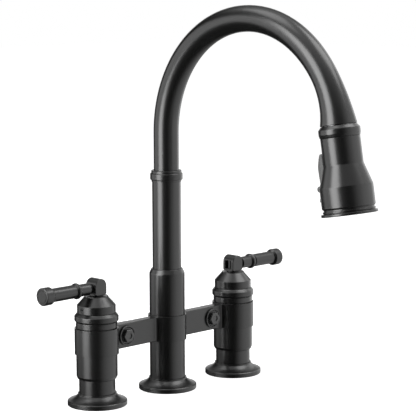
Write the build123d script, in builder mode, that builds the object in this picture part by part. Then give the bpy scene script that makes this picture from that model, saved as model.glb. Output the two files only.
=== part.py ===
"""Bridge kitchen faucet with two lever handles and a pull-down spray wand.

Millimetres, +Z up.  The origin is the axis of the spout column at deck level.  The
bridge runs along X.  At rest the spout points to -Y and the levers point outwards.
"""
import os
from math import cos, degrees, pi, radians, sin, sqrt, tan

from build123d import *

os.makedirs("parts", exist_ok=True)

# ------------------------------------------------------------------ driving dimensions
VALVE_SPACING = 203.2  # 8 in, between the holes of the two valves

# clearances
SLIP = 0.15  # radial, between fixed parts that slide together
RUN = 0.05  # parts that turn in each other or are screwed together
END_GAP = 0.3  # between faces that pass each other
SEAM = 0.4  # shadow line between stacked rings
BREAK = 0.5  # broken edges
HEX = 6  # sides of bolt heads, sockets and cells

# column
COLUMN_R = 19.05
COLUMN_TOP_Z = 131.6
COLUMN_SHOULDER_H = 4.8
COLUMN_SHOULDER_ROUND = 3.0
MOUTH_GAP = 0.35  # between the column's mouth and the riser
MOUTH_LIP_W = 1.0
SPIGOT_WALL = 2.5  # wall of the upper half outside the spigot
SPIGOT_H = 10.0
PASSAGE_R = 13.0  # for the hose
SHANK_BORE_R = 9.3
SHANK_DEPTH = 20.0

# base flanges and gaskets
FLANGE_R = 31.2
FLANGE_RIM_H = 4.6
FLANGE_RIM_W = 0.8
FLANGE_RIM_ROUND_H = 0.7
FLANGE_H = 12.6
FLANGE_NECK_WALL = 1.4
FLANGE_NECK_H = 1.4
FLANGE_SAG = 0.9
GASKET_H = 1.5
GASKET_W = 7.6
GASKET_INSET = 2.4

# valve bodies
NECK_R = 19.0
NECK_H = 27.6
NECK_GROOVE_H = 0.8
NECK_GROOVE_D = 0.5
SLEEVE_R = 21.6
SLEEVE_H = 25.8
SLEEVE_CHAMFER_H = 2.6
SLEEVE_CHAMFER_W = 1.1
COLLAR_SEAT_R = 20.5
VALVE_BOSS_R = 18.0
VALVE_BOSS_H = 4.0
WATERWAY_R = 2.9

# rings on the valves
BONNET_R = 21.6
BONNET_H = 6.2
BEAD_R = 23.1
BEAD_H = 9.4
BEAD_FOOT_R = 21.9
BEAD_BULGE_LOW = 1.2  # the bead's fullest stretch, above its foot
BEAD_BULGE_HIGH = 5.8
BEAD_CAP_R = 20.3
BEAD_CAP_H = 1.1
BEAD_BORE_R = 17.0

# ceramic-disc cartridges
CARTRIDGE_R = 13.6
CARTRIDGE_NECK_R = 11.6
CARTRIDGE_H = 35.0
CARTRIDGE_CLEAR = 3.0  # under the hub
CARTRIDGE_RING_R = 0.8
CARTRIDGE_RING_RISE = 6.0  # above the disc chamber
DISC_R = 11.3
DISC_H = 3.0
SEAT_DISC_H = 4.0
PORT_R = 3.4
PORT_OFF = 5.8
DRIVER_W = 4.4
DRIVER_H = 2.8
TONGUE_H = 1.0
STEM_R = 5.1

# handle hubs
HUB_R = 20.2
HUB_CYLINDER_H = 7.9
HUB_CONE_H = 8.7
HUB_CONE_TOP_R = 12.4
HUB_LIP_H = 0.8
HUB_SOCKET_H = 11.0
UNDERCUT_R = 6.8  # dark gap between the hub's lip and the yoke
UNDERCUT_H = 0.8
LEVER_RISE = 8.0  # of the lever's axis above the hub's lip
YOKE_X = 15.4
YOKE_Y = 15.8
YOKE_FOOT_R = 9.2  # the yoke's corners are turned off at its foot
YOKE_FOOT_H = 2.6
YOKE_CORNER_R = 11.4
YOKE_ABOVE_LEVER = 10.2
SLOT_W = 9.2
SLOT_H = 9.6
SET_SCREW_R = 2.0
SET_SCREW_RISE = 4.4
SET_SCREW_RECESS = 0.6
HEX_SOCKET_R = 1.1
HEX_SOCKET_H = 2.0

# levers, measured along the lever from the valve's axis
TANG_END_W = 2.8
TANG_RECESS = 2.1
TANG_ROOT_BACK = 1.0  # the full-width root, behind and past the valve's axis
TANG_ROOT_L = 6.5
LEVER_SHANK_R = 4.6
LEVER_NECK_R = 6.4
LEVER_NECK_START = 11.6
LEVER_BEAD_START = 24.4
LEVER_BEAD_W = 7.6
LEVER_BEAD_R = 8.4
LEVER_BEAD_SLOPE = 2.0
LEVER_BEAD_ROUND = 2.2
GRIP_R = 7.05
GRIP_GROOVE_D = 0.7
GRIP_GROOVE_W = 0.8
CAP_START = 61.0
CAP_L = 11.8
CAP_R = 9.25
CAP_SLOPE_L = 2.4
CAP_SPIGOT_R = 5.0
CAP_SPIGOT_L = 8.0
CAP_GROOVE_IN = 2.4  # of the face groove from the cap's edge
CAP_GROOVE_W = 0.6
CAP_GROOVE_D = 0.5

# bridge
BAND_H = 27.4
BAR_STEP = 0.8  # bar's lower edge above the bands' lower faces
BAR_H = 26.2
BAR_T = 10.0
BAR_BLEND_R = 4.0
BAR_EDGE = 0.6
COLUMN_BAND_R = 20.7
COLLAR_R = 23.1
COLLAR_STUB = 3.3
COLLAR_BLEND_R = 2.4
BOLT_OFFSET = 37.6  # from the valve's axis
LUG_PAST_BOLT = 8.2
BOLT_R = 3.9
BOLT_AF = 13.0
BOLT_HEAD_H = 4.0
BOLT_SHANK_L = 9.0
BOLT_RECESS_R = 3.3
BOLT_RECESS_H = 0.9
WASHER_R = 10.7
WASHER_H = 1.0
WASHER_RIM_H = 2.1
WASHER_RIM_W = 1.3
WASHER_SLOPE_W = 1.0

# riser and its swivel in the column
RISER_R = 15.4
RISER_BORE_R = 11.0
RISER_H = 98.4  # above the column
STEM_TUBE_R = 13.6
SWIVEL_SINK = 3.1  # of the riser's shoulder in the column's mouth
UPPER_BUSH_H = 12.0
LOWER_BUSH_H = 11.0
SEAL_LAND_H = 13.4
SEAL_GAP = 0.65
O_RING_R = 0.9
O_RING_PITCH = 5.4
RETAINER_H = 1.6
RETAINER_DEPTH = 0.8
RETAINER_OUT_R = 15.1
STEM_PAST_RETAINER = 2.4

# ring on the riser
RING_SKIRT = 4.4
RING_FOOT_H = 1.9
RING_BEAD_H = 7.3
RING_CAP_H = 3.0
RING_R = 17.4
RING_ROUND = 1.0
RING_FOOT_W = 0.6
RING_CAP_W = 0.8

# gooseneck
NECK_TUBE_R = 13.45
NECK_TUBE_WALL = 1.8
NECK_SOCKET_H = 16.0
NECK_STRAIGHT = 47.8  # above the riser, before the arch
ARCH_R = 123.6  # centre line, riser side
ARCH_TIP_R = 119.9  # centre line, outlet side
QUARTER = 90.0
ARCH_END_ANGLE = 170.0
TIP_STRAIGHT = 1.0
OUTLET_R = 18.4
OUTLET_EDGE = 0.7
FLARE_L = 60.0
FLARE_POWER = 2.3
FLARE_STEPS = 5

# dock in the outlet, by distance back from the outlet's face
DOCK_BORE_H = 5.2
DOCK_SLEEVE_R = 13.6
DOCK_SLEEVE_L = 15.0
DOCK_SLEEVE_WALL = 1.2
DOCK_TAPER_H = 3.0
DOCK_THROAT_R = 11.0
MAGNET_H = 2.0
MAGNET_GAP = 0.4

# hose
HOSE_R = 5.6
HOSE_EASE = 10.0  # the hose cuts the arch's corner by this much
HOSE_PAST_SHANK = 2.0
HOSE_FITTING_R = 8.8
HOSE_FITTING_H = 18.0

# wand, measured along its own axis from the outlet's face
DOCK_SEAM = 0.35
KEEPER_H = 2.0
KEEPER_GAP = 0.7
NUT_R = 9.3
NUT_FRONT = 4.0
NUT_BACK = 12.0
NUT_TAPER = 1.2
NIPPLE_BACK = 9.0
NIPPLE_R = 6.5
WATER_BORE_R = 4.0
RIM_R = 20.6
RIM_H = 11.65
RIM_TOP_W = 2.8
RIM_TOP_H = 3.4
RIM_FLAT_H = 4.75
RIM_ROUND = 2.0
RIM_EDGE_W = 0.35
RIM_EDGE_H = 0.7
SHELL_R = 19.55
SHELL_WALL = 2.0
BARREL_L = 26.3
CONE_L = 21.3
CONE_ROUND = 2.0
SKIRT_R = 26.35
SKIRT_L = 21.0
SKIRT_EDGE_W = 0.9
SKIRT_EDGE_H = 1.4
CORE_R = 14.0
CORE_TAPER_H = 3.0
CORE_FLANGE_H = 3.0
CORE_SKIRT_H = 4.7
CORE_SKIRT_TAPER = 2.0
CORE_SKIRT_WALL = 1.85
FACE_H = 3.4
FACE_SINK = 1.4  # of the spray plate's back in the skirt
AERATOR_R = 8.0
AERATOR_PROUD = 2.0
AERATOR_CELL_R = 1.15
AERATOR_CELL_RINGS = ((0, 1), (2.9, 6), (5.6, 12))  # radius, count
NOZZLE_R = 0.9
NOZZLE_H = 1.0
NOZZLE_RINGS = ((12.0, 14), (16.0, 20), (19.8, 26))  # radius, count
OUTLET_NECK_R = 24.9
OUTLET_NECK_H = 1.6
OUTLET_NECK_WALL = 1.35
OUTLET_BAND_R = 25.9
OUTLET_BAND_H = 1.6
OUTLET_GROOVE_W = 0.6
OUTLET_GROOVE_H = 1.0
OUTLET_LIP_R = 27.9
OUTLET_LIP_H = 2.6
OUTLET_MOUTH_H = 1.5

# check valve in the nipple
CHECK_VALVE_BACK = 4.0
CHECK_VALVE_L = 8.0
CHECK_PORT_R = 0.9
CHECK_PORT_OFF = 2.3
CHECK_PORTS = 6

# rocker toggle on the wand's back; offsets are from the wand's axis
TOGGLE_W = 21.0
TOGGLE_L = 46.9
TOGGLE_RISE = 13.9  # its top end below the rim
TOGGLE_GAP = 0.35
TOGGLE_SINK = 1.85  # its face inside the skirt's radius
TOGGLE_T = 7.3
TOGGLE_TIP_T = 2.9
TOGGLE_CURVE_L = 14.1
TOGGLE_CURVE_L_MID = 6.6
TOGGLE_CURVE_DROP = 1.6
TOGGLE_PAD_PROUD = 2.9
TOGGLE_PAD_T = 5.4
TOGGLE_NECK_DROP = 0.7  # beside the ridge
NUB_R = 3.1
NUB_RISE = 1.3  # of the ridge's centre over the toggle's face
NUB_PAST_CONE = 0.4
NUB_DIMPLE_R = 1.5
NUB_DIMPLE_H = 0.6
PIVOT_DEPTH = 2.3  # of the pin under the toggle's face
PIVOT_WALL = 3.0
PIVOT_EASE = 4.0
PIN_R = 1.2
PIN_IN_SHELL = 1.4
SPOOL_RISE = 14.1  # its axis below the toggle's top end
SPOOL_R = 2.6
SPOOL_IN = 4.0
SPOOL_CHAMBER_H = 3.0

# ------------------------------------------------------------------ derived places
VALVE_X = VALVE_SPACING / 2
SIDES = (("left", -1), ("right", 1))

BAND_Z0 = NECK_H + NECK_GROOVE_H + SLEEVE_H
BAND_Z1 = BAND_Z0 + BAND_H
BAR_Z0 = BAND_Z0 + BAR_STEP
BAR_MID_Z = BAR_Z0 + BAR_H / 2
COLUMN_SPLIT_Z = BAR_MID_Z  # the joint of the column's halves hides in the band
VALVE_SHOULDER_Z = BAND_Z1 + SEAM
VALVE_BOSS_Z = VALVE_SHOULDER_Z + VALVE_BOSS_H
BONNET_TOP_Z = VALVE_SHOULDER_Z + BONNET_H
BEAD_TOP_Z = BONNET_TOP_Z + BEAD_H
HUB_Z0 = BEAD_TOP_Z + SEAM
HUB_CYLINDER_Z = HUB_Z0 + HUB_CYLINDER_H
HUB_CONE_Z = HUB_CYLINDER_Z + HUB_CONE_H
HUB_LIP_Z = HUB_CONE_Z + HUB_LIP_H
LEVER_Z = HUB_LIP_Z + LEVER_RISE
YOKE_Z0 = HUB_LIP_Z + UNDERCUT_H
YOKE_TOP_Z = LEVER_Z + YOKE_ABOVE_LEVER
YOKE_ROUND_Z = YOKE_TOP_Z - YOKE_X / 2
SLOT_Z0 = LEVER_Z - SLOT_H / 2
STEM_TOP_Z = HUB_Z0 + HUB_SOCKET_H - END_GAP
SET_SCREW_Z = HUB_Z0 + SET_SCREW_RISE
CARTRIDGE_TOP_Z = HUB_Z0 - CARTRIDGE_CLEAR
CARTRIDGE_Z0 = CARTRIDGE_TOP_Z - CARTRIDGE_H
TURNING_DISC_Z0 = CARTRIDGE_Z0 + SEAT_DISC_H + RUN
DRIVER_Z0 = TURNING_DISC_Z0 + DISC_H
CHAMBER_TOP_Z = DRIVER_Z0 + DRIVER_H + END_GAP
CHAMBER_R = DISC_R + END_GAP
CARTRIDGE_RING_Z = CHAMBER_TOP_Z + CARTRIDGE_RING_RISE
CARTRIDGE_RING_AT = CARTRIDGE_R + SLIP - RUN - CARTRIDGE_RING_R

BOLT_X = VALVE_X - BOLT_OFFSET
LUG_X = BOLT_X - LUG_PAST_BOLT
STUB_X = VALVE_X - COLLAR_R - COLLAR_STUB
BOLT_SEAT_Y = -BAR_T / 2 - WASHER_H
BOLT_END_Y = BOLT_SEAT_Y + BOLT_SHANK_L

BUSH_BORE_R = RISER_R + MOUTH_GAP
SWIVEL_SHOULDER_Z = COLUMN_TOP_Z - SWIVEL_SINK
UPPER_LEDGE_Z = SWIVEL_SHOULDER_Z - RUN - UPPER_BUSH_H
LOWER_LEDGE_Z = UPPER_LEDGE_Z - SEAL_LAND_H
SEAL_BORE_R = STEM_TUBE_R + SEAL_GAP
O_RING_AT = SEAL_BORE_R - RUN - O_RING_R
O_RING_MID_Z = (UPPER_LEDGE_Z + LOWER_LEDGE_Z) / 2
O_RING_PLACES = (O_RING_MID_Z - O_RING_PITCH / 2, O_RING_MID_Z + O_RING_PITCH / 2)
RETAINER_Z1 = LOWER_LEDGE_Z - LOWER_BUSH_H - RUN
RETAINER_Z0 = RETAINER_Z1 - RETAINER_H
RETAINER_IN_R = STEM_TUBE_R - RETAINER_DEPTH
STEM_TUBE_Z0 = RETAINER_Z0 - STEM_PAST_RETAINER
RISER_TOP_Z = COLUMN_TOP_Z + RISER_H
RING_Z0 = RISER_TOP_Z - RING_SKIRT
NECK_TUBE_Z0 = RISER_TOP_Z - NECK_SOCKET_H
ARCH_START_Z = RISER_TOP_Z + NECK_STRAIGHT
ARCH_TOP_Z = ARCH_START_Z + ARCH_R

END_TURN = radians(ARCH_END_ANGLE)
OUTLET_DIR = Vector(0, -sin(END_TURN), cos(END_TURN))
OUTLET_BACK = Vector(0, -cos(END_TURN), -sin(END_TURN))
ARCH_TIP_CENTRE = Vector(0, -ARCH_R, ARCH_TOP_Z - ARCH_TIP_R)
OUTLET = ARCH_TIP_CENTRE - OUTLET_BACK * ARCH_TIP_R + OUTLET_DIR * TIP_STRAIGHT
OUTLET_AXIS = Axis(OUTLET, OUTLET_DIR)
WAND_SECTION = Plane(origin=OUTLET, x_dir=(1, 0, 0), z_dir=OUTLET_BACK)
TOGGLE_SECTION = Plane(origin=OUTLET, x_dir=OUTLET_DIR, z_dir=(1, 0, 0))
DOCK_BORE_R = OUTLET_R - NECK_TUBE_WALL

RIM_S1 = DOCK_SEAM + RIM_H
CONE_S0 = RIM_S1 + BARREL_L
CONE_S1 = CONE_S0 + CONE_L
SKIRT_S1 = CONE_S1 + SKIRT_L
KEEPER_S0 = DOCK_SEAM - KEEPER_H
MAGNET_S1 = KEEPER_S0 - MAGNET_GAP
MAGNET_S0 = MAGNET_S1 - MAGNET_H
SHELL_BORE_R = SHELL_R - SHELL_WALL
SKIRT_BORE_R = SKIRT_R - SHELL_WALL
FACE_S0 = SKIRT_S1 - FACE_SINK
FACE_S1 = FACE_S0 + FACE_H
FACE_R = OUTLET_NECK_R - OUTLET_NECK_WALL - SLIP
TOGGLE_S0 = RIM_S1 + TOGGLE_RISE
TOGGLE_S1 = TOGGLE_S0 + TOGGLE_L
TOGGLE_FACE = SKIRT_R - TOGGLE_SINK
TOGGLE_UNDER = TOGGLE_FACE - TOGGLE_T
PIVOT_S = CONE_S1 + NUB_PAST_CONE
PIVOT_OFF = TOGGLE_FACE - PIVOT_DEPTH
NUB_OFF = TOGGLE_FACE + NUB_RISE
SPOOL_S = TOGGLE_S0 + SPOOL_RISE


# ------------------------------------------------------------------ shared helpers
def turned(outline, section=Plane.XZ, axis=Axis.Z, mode=Mode.ADD):
    """Revolve a closed outline of (u, v) or (u, v, corner radius) points."""
    with BuildSketch(section) as profile:
        with BuildLine():
            Polyline(*[point[:2] for point in outline], close=True)
        make_face()
        for u, v, *corner in outline:
            if corner:
                fillet(profile.vertices().sort_by_distance((u, v))[0], corner[0])
    revolve(profile.sketch, axis=axis, mode=mode)


def wand_turned(outline, mode=Mode.ADD):
    """Turn (radius, distance along the wand) points about the outlet's axis."""
    turned(outline, WAND_SECTION, OUTLET_AXIS, mode)


def valve_turned(x, outline, mode=Mode.ADD):
    """Turn (radius, height) points about the vertical axis through x."""
    section = Plane(origin=(x, 0, 0), x_dir=(1, 0, 0), z_dir=(0, -1, 0))
    turned(outline, section, Axis((x, 0, 0), (0, 0, 1)), mode)


def lever_turned(x, sign, outline):
    """Turn (distance, radius) points about the lever's axis, outwards from the valve."""
    section = Plane(origin=(x, 0, LEVER_Z), x_dir=(sign, 0, 0), z_dir=(0, -sign, 0))
    turned(outline, section, Axis((x, 0, LEVER_Z), (sign, 0, 0)))


def ring(inner, outer, z0, z1, mode=Mode.ADD):
    """Plain ring about the column's axis."""
    turned(((inner, z0), (outer, z0), (outer, z1), (inner, z1)), mode=mode)


def wand_ring(inner, outer, s0, s1):
    """Plain ring about the wand's axis."""
    wand_turned(((inner, s0), (outer, s0), (outer, s1), (inner, s1)))


def block(x0, x1, y0, y1):
    """Rectangle between two corners of the sketch's plane."""
    with Locations(((x0 + x1) / 2, (y0 + y1) / 2)):
        Rectangle(abs(x1 - x0), abs(y1 - y0))


def wand_plane(s, offset=0.0):
    """Plane square to the toggle's face, at a place along and off the wand's axis."""
    origin = OUTLET + OUTLET_DIR * s + OUTLET_BACK * offset
    return Plane(origin=origin, x_dir=(1, 0, 0), z_dir=OUTLET_BACK)


def wand_square(s):
    """Plane square to the wand's axis, facing along it."""
    return Plane(origin=OUTLET + OUTLET_DIR * s, x_dir=(1, 0, 0), z_dir=OUTLET_DIR)


def finish(piece, name):
    piece.part.label = name
    export_step(piece.part, f"parts/{name}.step")


# ------------------------------------------------------------------ column
# Lower half: shank thread underneath, passage for the hose, spigot screwed into the upper half.
SPIGOT_R = COLUMN_R - SPIGOT_WALL - SLIP
SPIGOT_TOP_Z = COLUMN_SPLIT_Z + SPIGOT_H
with BuildPart() as column_lower:
    turned(
        (
            (SHANK_BORE_R, 0),
            (COLUMN_R, 0),
            (COLUMN_R, COLUMN_SPLIT_Z),
            (SPIGOT_R, COLUMN_SPLIT_Z),
            (SPIGOT_R, SPIGOT_TOP_Z),
            (PASSAGE_R, SPIGOT_TOP_Z),
            (PASSAGE_R, SHANK_DEPTH),
            (SHANK_BORE_R, SHANK_DEPTH),
        )
    )
finish(column_lower, "column_lower")

# Upper half: bush bore and ledge from below, seal land, bush bore and mouth on top.
with BuildPart() as column_upper:
    turned(
        (
            (SPIGOT_R + SLIP, COLUMN_SPLIT_Z),
            (COLUMN_R, COLUMN_SPLIT_Z),
            (COLUMN_R, COLUMN_TOP_Z - COLUMN_SHOULDER_H, COLUMN_SHOULDER_ROUND),
            (BUSH_BORE_R + MOUTH_LIP_W, COLUMN_TOP_Z, BREAK),
            (BUSH_BORE_R, COLUMN_TOP_Z),
            (BUSH_BORE_R, UPPER_LEDGE_Z),
            (SEAL_BORE_R, UPPER_LEDGE_Z),
            (SEAL_BORE_R, LOWER_LEDGE_Z),
            (BUSH_BORE_R, LOWER_LEDGE_Z),
            (BUSH_BORE_R, SPIGOT_TOP_Z + SLIP),
            (SPIGOT_R + SLIP, SPIGOT_TOP_Z + SLIP),
        )
    )
finish(column_upper, "column_upper")

# Bushes that the riser turns in, one on each ledge.
with BuildPart() as upper_bush:
    ring(STEM_TUBE_R + RUN, BUSH_BORE_R - RUN, UPPER_LEDGE_Z, UPPER_LEDGE_Z + UPPER_BUSH_H)
finish(upper_bush, "upper_bush")

with BuildPart() as lower_bush:
    ring(STEM_TUBE_R + RUN, BUSH_BORE_R - RUN, LOWER_LEDGE_Z - LOWER_BUSH_H, LOWER_LEDGE_Z)
finish(lower_bush, "lower_bush")


# ------------------------------------------------------------------ base flanges and gaskets
GASKET_OUT_R = FLANGE_R - GASKET_INSET
GASKET_IN_R = GASKET_OUT_R - GASKET_W


def base_flange(x, tube_r):
    """Low bell-shaped flange with a gasket groove in its underside."""
    bore = tube_r + SLIP
    neck = tube_r + FLANGE_NECK_WALL
    slope_foot = (FLANGE_R - FLANGE_RIM_W, FLANGE_RIM_H + FLANGE_RIM_ROUND_H)
    slope_head = (neck, FLANGE_H - FLANGE_NECK_H)
    mid = (
        (slope_foot[0] + slope_head[0]) / 2 - FLANGE_SAG / 2,
        (slope_foot[1] + slope_head[1]) / 2 - FLANGE_SAG,
    )
    section = Plane(origin=(x, 0, 0), x_dir=(1, 0, 0), z_dir=(0, -1, 0))
    with BuildPart() as flange:
        with BuildSketch(section) as profile:
            with BuildLine():
                Polyline(
                    slope_head,
                    (neck, FLANGE_H),
                    (bore, FLANGE_H),
                    (bore, 0),
                    (GASKET_IN_R - SLIP, 0),
                    (GASKET_IN_R - SLIP, GASKET_H),
                    (GASKET_OUT_R + SLIP, GASKET_H),
                    (GASKET_OUT_R + SLIP, 0),
                    (FLANGE_R - BREAK, 0),
                    (FLANGE_R, BREAK),
                    (FLANGE_R, FLANGE_RIM_H),
                    slope_foot,
                )
                ThreePointArc(slope_foot, mid, slope_head)
            make_face()
        revolve(profile.sketch, axis=Axis((x, 0, 0), (0, 0, 1)))
    return flange


finish(base_flange(0, COLUMN_R), "column_flange")
for side, sign in SIDES:
    finish(base_flange(sign * VALVE_X, NECK_R), f"{side}_flange")

# Flat rubber rings that seal the flanges to the deck.
with BuildPart() as deck_gaskets:
    with BuildSketch():
        with Locations((-VALVE_X, 0), (0, 0), (VALVE_X, 0)):
            Circle(GASKET_OUT_R)
            Circle(GASKET_IN_R, mode=Mode.SUBTRACT)
    extrude(amount=GASKET_H)
finish(deck_gaskets, "deck_gaskets")

# ------------------------------------------------------------------ bridge
# Flat bar and the column's band in one casting.  The rear half of each end is cut away for
# the lug of the valve's collar, and a bolt clamps the two together.
with BuildPart() as bridge_bar:
    with BuildSketch(Plane.XY.offset(BAR_Z0)) as bar_plan:
        block(-STUB_X + RUN, STUB_X - RUN, -BAR_T / 2, BAR_T / 2)
        Circle(COLUMN_BAND_R)
        blend_x = sqrt(COLUMN_BAND_R**2 - (BAR_T / 2) ** 2)
        for corner in ((1, 1), (1, -1), (-1, 1), (-1, -1)):
            at = (corner[0] * blend_x, corner[1] * BAR_T / 2)
            fillet(bar_plan.vertices().sort_by_distance(at)[0], BAR_BLEND_R)
    extrude(amount=BAR_H)
    chamfer(bridge_bar.edges().filter_by(Axis.X), BAR_EDGE)
    with BuildSketch(Plane.XY.offset(BAND_Z0)):
        Circle(COLUMN_BAND_R)
    extrude(amount=BAND_H)
    with BuildSketch(Plane.XY.offset(BAND_Z0)):
        Circle(COLUMN_R + SLIP)
        for side, sign in SIDES:
            block(sign * (LUG_X - SLIP), sign * VALVE_X, -RUN, BAR_T)
    extrude(amount=BAND_H, mode=Mode.SUBTRACT)
    with BuildSketch(Plane.XZ):
        with Locations((-BOLT_X, BAR_MID_Z), (BOLT_X, BAR_MID_Z)):
            Circle(BOLT_R + SLIP)
    extrude(amount=BAR_T, mode=Mode.SUBTRACT)
finish(bridge_bar, "bridge_bar")


def valve_collar(sign):
    """Band round a valve with a short stub towards the column and a lug behind the bar."""
    x = sign * VALVE_X
    blend_x = x - sign * sqrt(COLLAR_R**2 - (BAR_T / 2) ** 2)
    with BuildPart() as collar:
        with BuildSketch(Plane.XY.offset(BAR_Z0)) as plan:
            with Locations((x, 0)):
                Circle(COLLAR_R)
            block(sign * STUB_X, x, -BAR_T / 2, BAR_T / 2)
            for y in (-BAR_T / 2, BAR_T / 2):
                fillet(plan.vertices().sort_by_distance((blend_x, y))[0], COLLAR_BLEND_R)
            block(sign * LUG_X, x, 0, BAR_T / 2)
        extrude(amount=BAR_H)
        with BuildSketch(Plane.XY.offset(BAND_Z0)):
            with Locations((x, 0)):
                Circle(COLLAR_R)
        extrude(amount=BAND_H)
        with BuildSketch(Plane.XY.offset(BAND_Z0)):
            with Locations((x, 0)):
                Circle(COLLAR_SEAT_R + SLIP)
        extrude(amount=BAND_H, mode=Mode.SUBTRACT)
        with BuildSketch(Plane.XZ):
            with Locations((sign * BOLT_X, BAR_MID_Z)):
                Circle(BOLT_R + RUN)
        extrude(amount=-BOLT_END_Y - END_GAP, mode=Mode.SUBTRACT)
    return collar


for side, sign in SIDES:
    finish(valve_collar(sign), f"{side}_collar")

# Dished washers with a raised rim.
with BuildPart() as bridge_washers:
    for side, sign in SIDES:
        bolt_x = sign * BOLT_X
        turned(
            (
                (BOLT_R + SLIP, 0),
                (WASHER_R, 0),
                (WASHER_R, -WASHER_RIM_H, BREAK),
                (WASHER_R - WASHER_RIM_W, -WASHER_RIM_H, BREAK / 2),
                (WASHER_R - WASHER_RIM_W - WASHER_SLOPE_W, -WASHER_H),
                (BOLT_R + SLIP, -WASHER_H),
            ),
            Plane(origin=(bolt_x, -BAR_T / 2, BAR_MID_Z), x_dir=(1, 0, 0), z_dir=(0, 0, 1)),
            Axis((bolt_x, 0, BAR_MID_Z), (0, -1, 0)),
        )
finish(bridge_washers, "bridge_washers")

# Hex bolts with a shallow round recess in the head.
BOLT_SEAT = Plane(origin=(0, BOLT_SEAT_Y, 0), x_dir=(1, 0, 0), z_dir=(0, -1, 0))
BOLT_PLACES = ((-BOLT_X, BAR_MID_Z), (BOLT_X, BAR_MID_Z))
with BuildPart() as bridge_bolts:
    with BuildSketch(BOLT_SEAT):
        with Locations(*BOLT_PLACES):
            RegularPolygon(BOLT_AF / 2, HEX, major_radius=False)
    extrude(amount=BOLT_HEAD_H)
    chamfer(bridge_bolts.faces().group_by(Axis.Y)[0].edges(), BREAK)
    with BuildSketch(BOLT_SEAT.offset(BOLT_HEAD_H)):
        with Locations(*BOLT_PLACES):
            Circle(BOLT_RECESS_R)
    extrude(amount=-BOLT_RECESS_H, mode=Mode.SUBTRACT)
    with BuildSketch(BOLT_SEAT):
        with Locations(*BOLT_PLACES):
            Circle(BOLT_R)
    extrude(amount=-BOLT_SHANK_L)
finish(bridge_bolts, "bridge_bolts")


# ------------------------------------------------------------------ valves
def valve_body(x):
    """Neck and sleeve in one turning, with two waterways from the shank to the cartridge."""
    neck_groove_r = NECK_R - NECK_GROOVE_D
    sleeve_z0 = NECK_H + NECK_GROOVE_H
    with BuildPart() as body:
        valve_turned(
            x,
            (
                (0, SHANK_DEPTH),
                (SHANK_BORE_R, SHANK_DEPTH),
                (SHANK_BORE_R, 0),
                (NECK_R, 0),
                (NECK_R, NECK_H),
                (neck_groove_r, NECK_H),
                (neck_groove_r, sleeve_z0),
                (SLEEVE_R - SLEEVE_CHAMFER_W, sleeve_z0),
                (SLEEVE_R, sleeve_z0 + SLEEVE_CHAMFER_H, SLEEVE_CHAMFER_W),
                (SLEEVE_R, BAND_Z0),
                (COLLAR_SEAT_R, BAND_Z0),
                (COLLAR_SEAT_R, VALVE_SHOULDER_Z),
                (VALVE_BOSS_R, VALVE_SHOULDER_Z),
                (VALVE_BOSS_R, VALVE_BOSS_Z),
                (CARTRIDGE_R + SLIP, VALVE_BOSS_Z),
                (CARTRIDGE_R + SLIP, CARTRIDGE_Z0),
                (0, CARTRIDGE_Z0),
            ),
        )
        with BuildSketch(Plane.XY.offset(SHANK_DEPTH)):
            with Locations((x, PORT_OFF), (x, -PORT_OFF)):
                Circle(WATERWAY_R)
        extrude(amount=CARTRIDGE_Z0 - SHANK_DEPTH, mode=Mode.SUBTRACT)
    return body


def bonnet_ring(x):
    """Ring nut that screws over the boss and holds the cartridge by its shoulder."""
    with BuildPart() as bonnet:
        valve_turned(
            x,
            (
                (VALVE_BOSS_R + SLIP, VALVE_SHOULDER_Z),
                (BONNET_R, VALVE_SHOULDER_Z, BREAK),
                (BONNET_R, BONNET_TOP_Z, BREAK),
                (CARTRIDGE_NECK_R + SLIP, BONNET_TOP_Z),
                (CARTRIDGE_NECK_R + SLIP, VALVE_BOSS_Z + RUN),
                (VALVE_BOSS_R + SLIP, VALVE_BOSS_Z + RUN),
            ),
        )
    return bonnet


def bead_ring(x):
    """Rounded trim ring that stands on the bonnet ring."""
    foot = BONNET_TOP_Z + SEAM
    with BuildPart() as bead:
        valve_turned(
            x,
            (
                (BEAD_BORE_R, BONNET_TOP_Z),
                (BEAD_FOOT_R - 2 * BREAK, BONNET_TOP_Z),
                (BEAD_FOOT_R - 2 * BREAK, foot),
                (BEAD_FOOT_R, foot, BREAK / 2),
                (BEAD_R, foot + BEAD_BULGE_LOW, BEAD_BULGE_LOW / 2),
                (BEAD_R, foot + BEAD_BULGE_HIGH, BEAD_BULGE_LOW),
                (BEAD_CAP_R + BEAD_CAP_H, BEAD_TOP_Z - BEAD_CAP_H, BREAK),
                (BEAD_CAP_R, BEAD_TOP_Z),
                (BEAD_BORE_R, BEAD_TOP_Z),
            ),
        )
    return bead


def cartridge(x):
    """Housing with a disc chamber below and a long bearing for the stem above."""
    groove = CARTRIDGE_RING_R + RUN
    groove_r = CARTRIDGE_RING_AT - groove
    with BuildPart() as housing:
        valve_turned(
            x,
            (
                (CHAMBER_R, CARTRIDGE_Z0),
                (CARTRIDGE_R, CARTRIDGE_Z0),
                (CARTRIDGE_R, CARTRIDGE_RING_Z - groove),
                (groove_r, CARTRIDGE_RING_Z - groove),
                (groove_r, CARTRIDGE_RING_Z + groove),
                (CARTRIDGE_R, CARTRIDGE_RING_Z + groove),
                (CARTRIDGE_R, VALVE_BOSS_Z),
                (CARTRIDGE_NECK_R, VALVE_BOSS_Z),
                (CARTRIDGE_NECK_R, CARTRIDGE_TOP_Z, BREAK),
                (STEM_R + RUN, CARTRIDGE_TOP_Z),
                (STEM_R + RUN, CHAMBER_TOP_Z),
                (CHAMBER_R, CHAMBER_TOP_Z),
            ),
        )
    return housing


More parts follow.
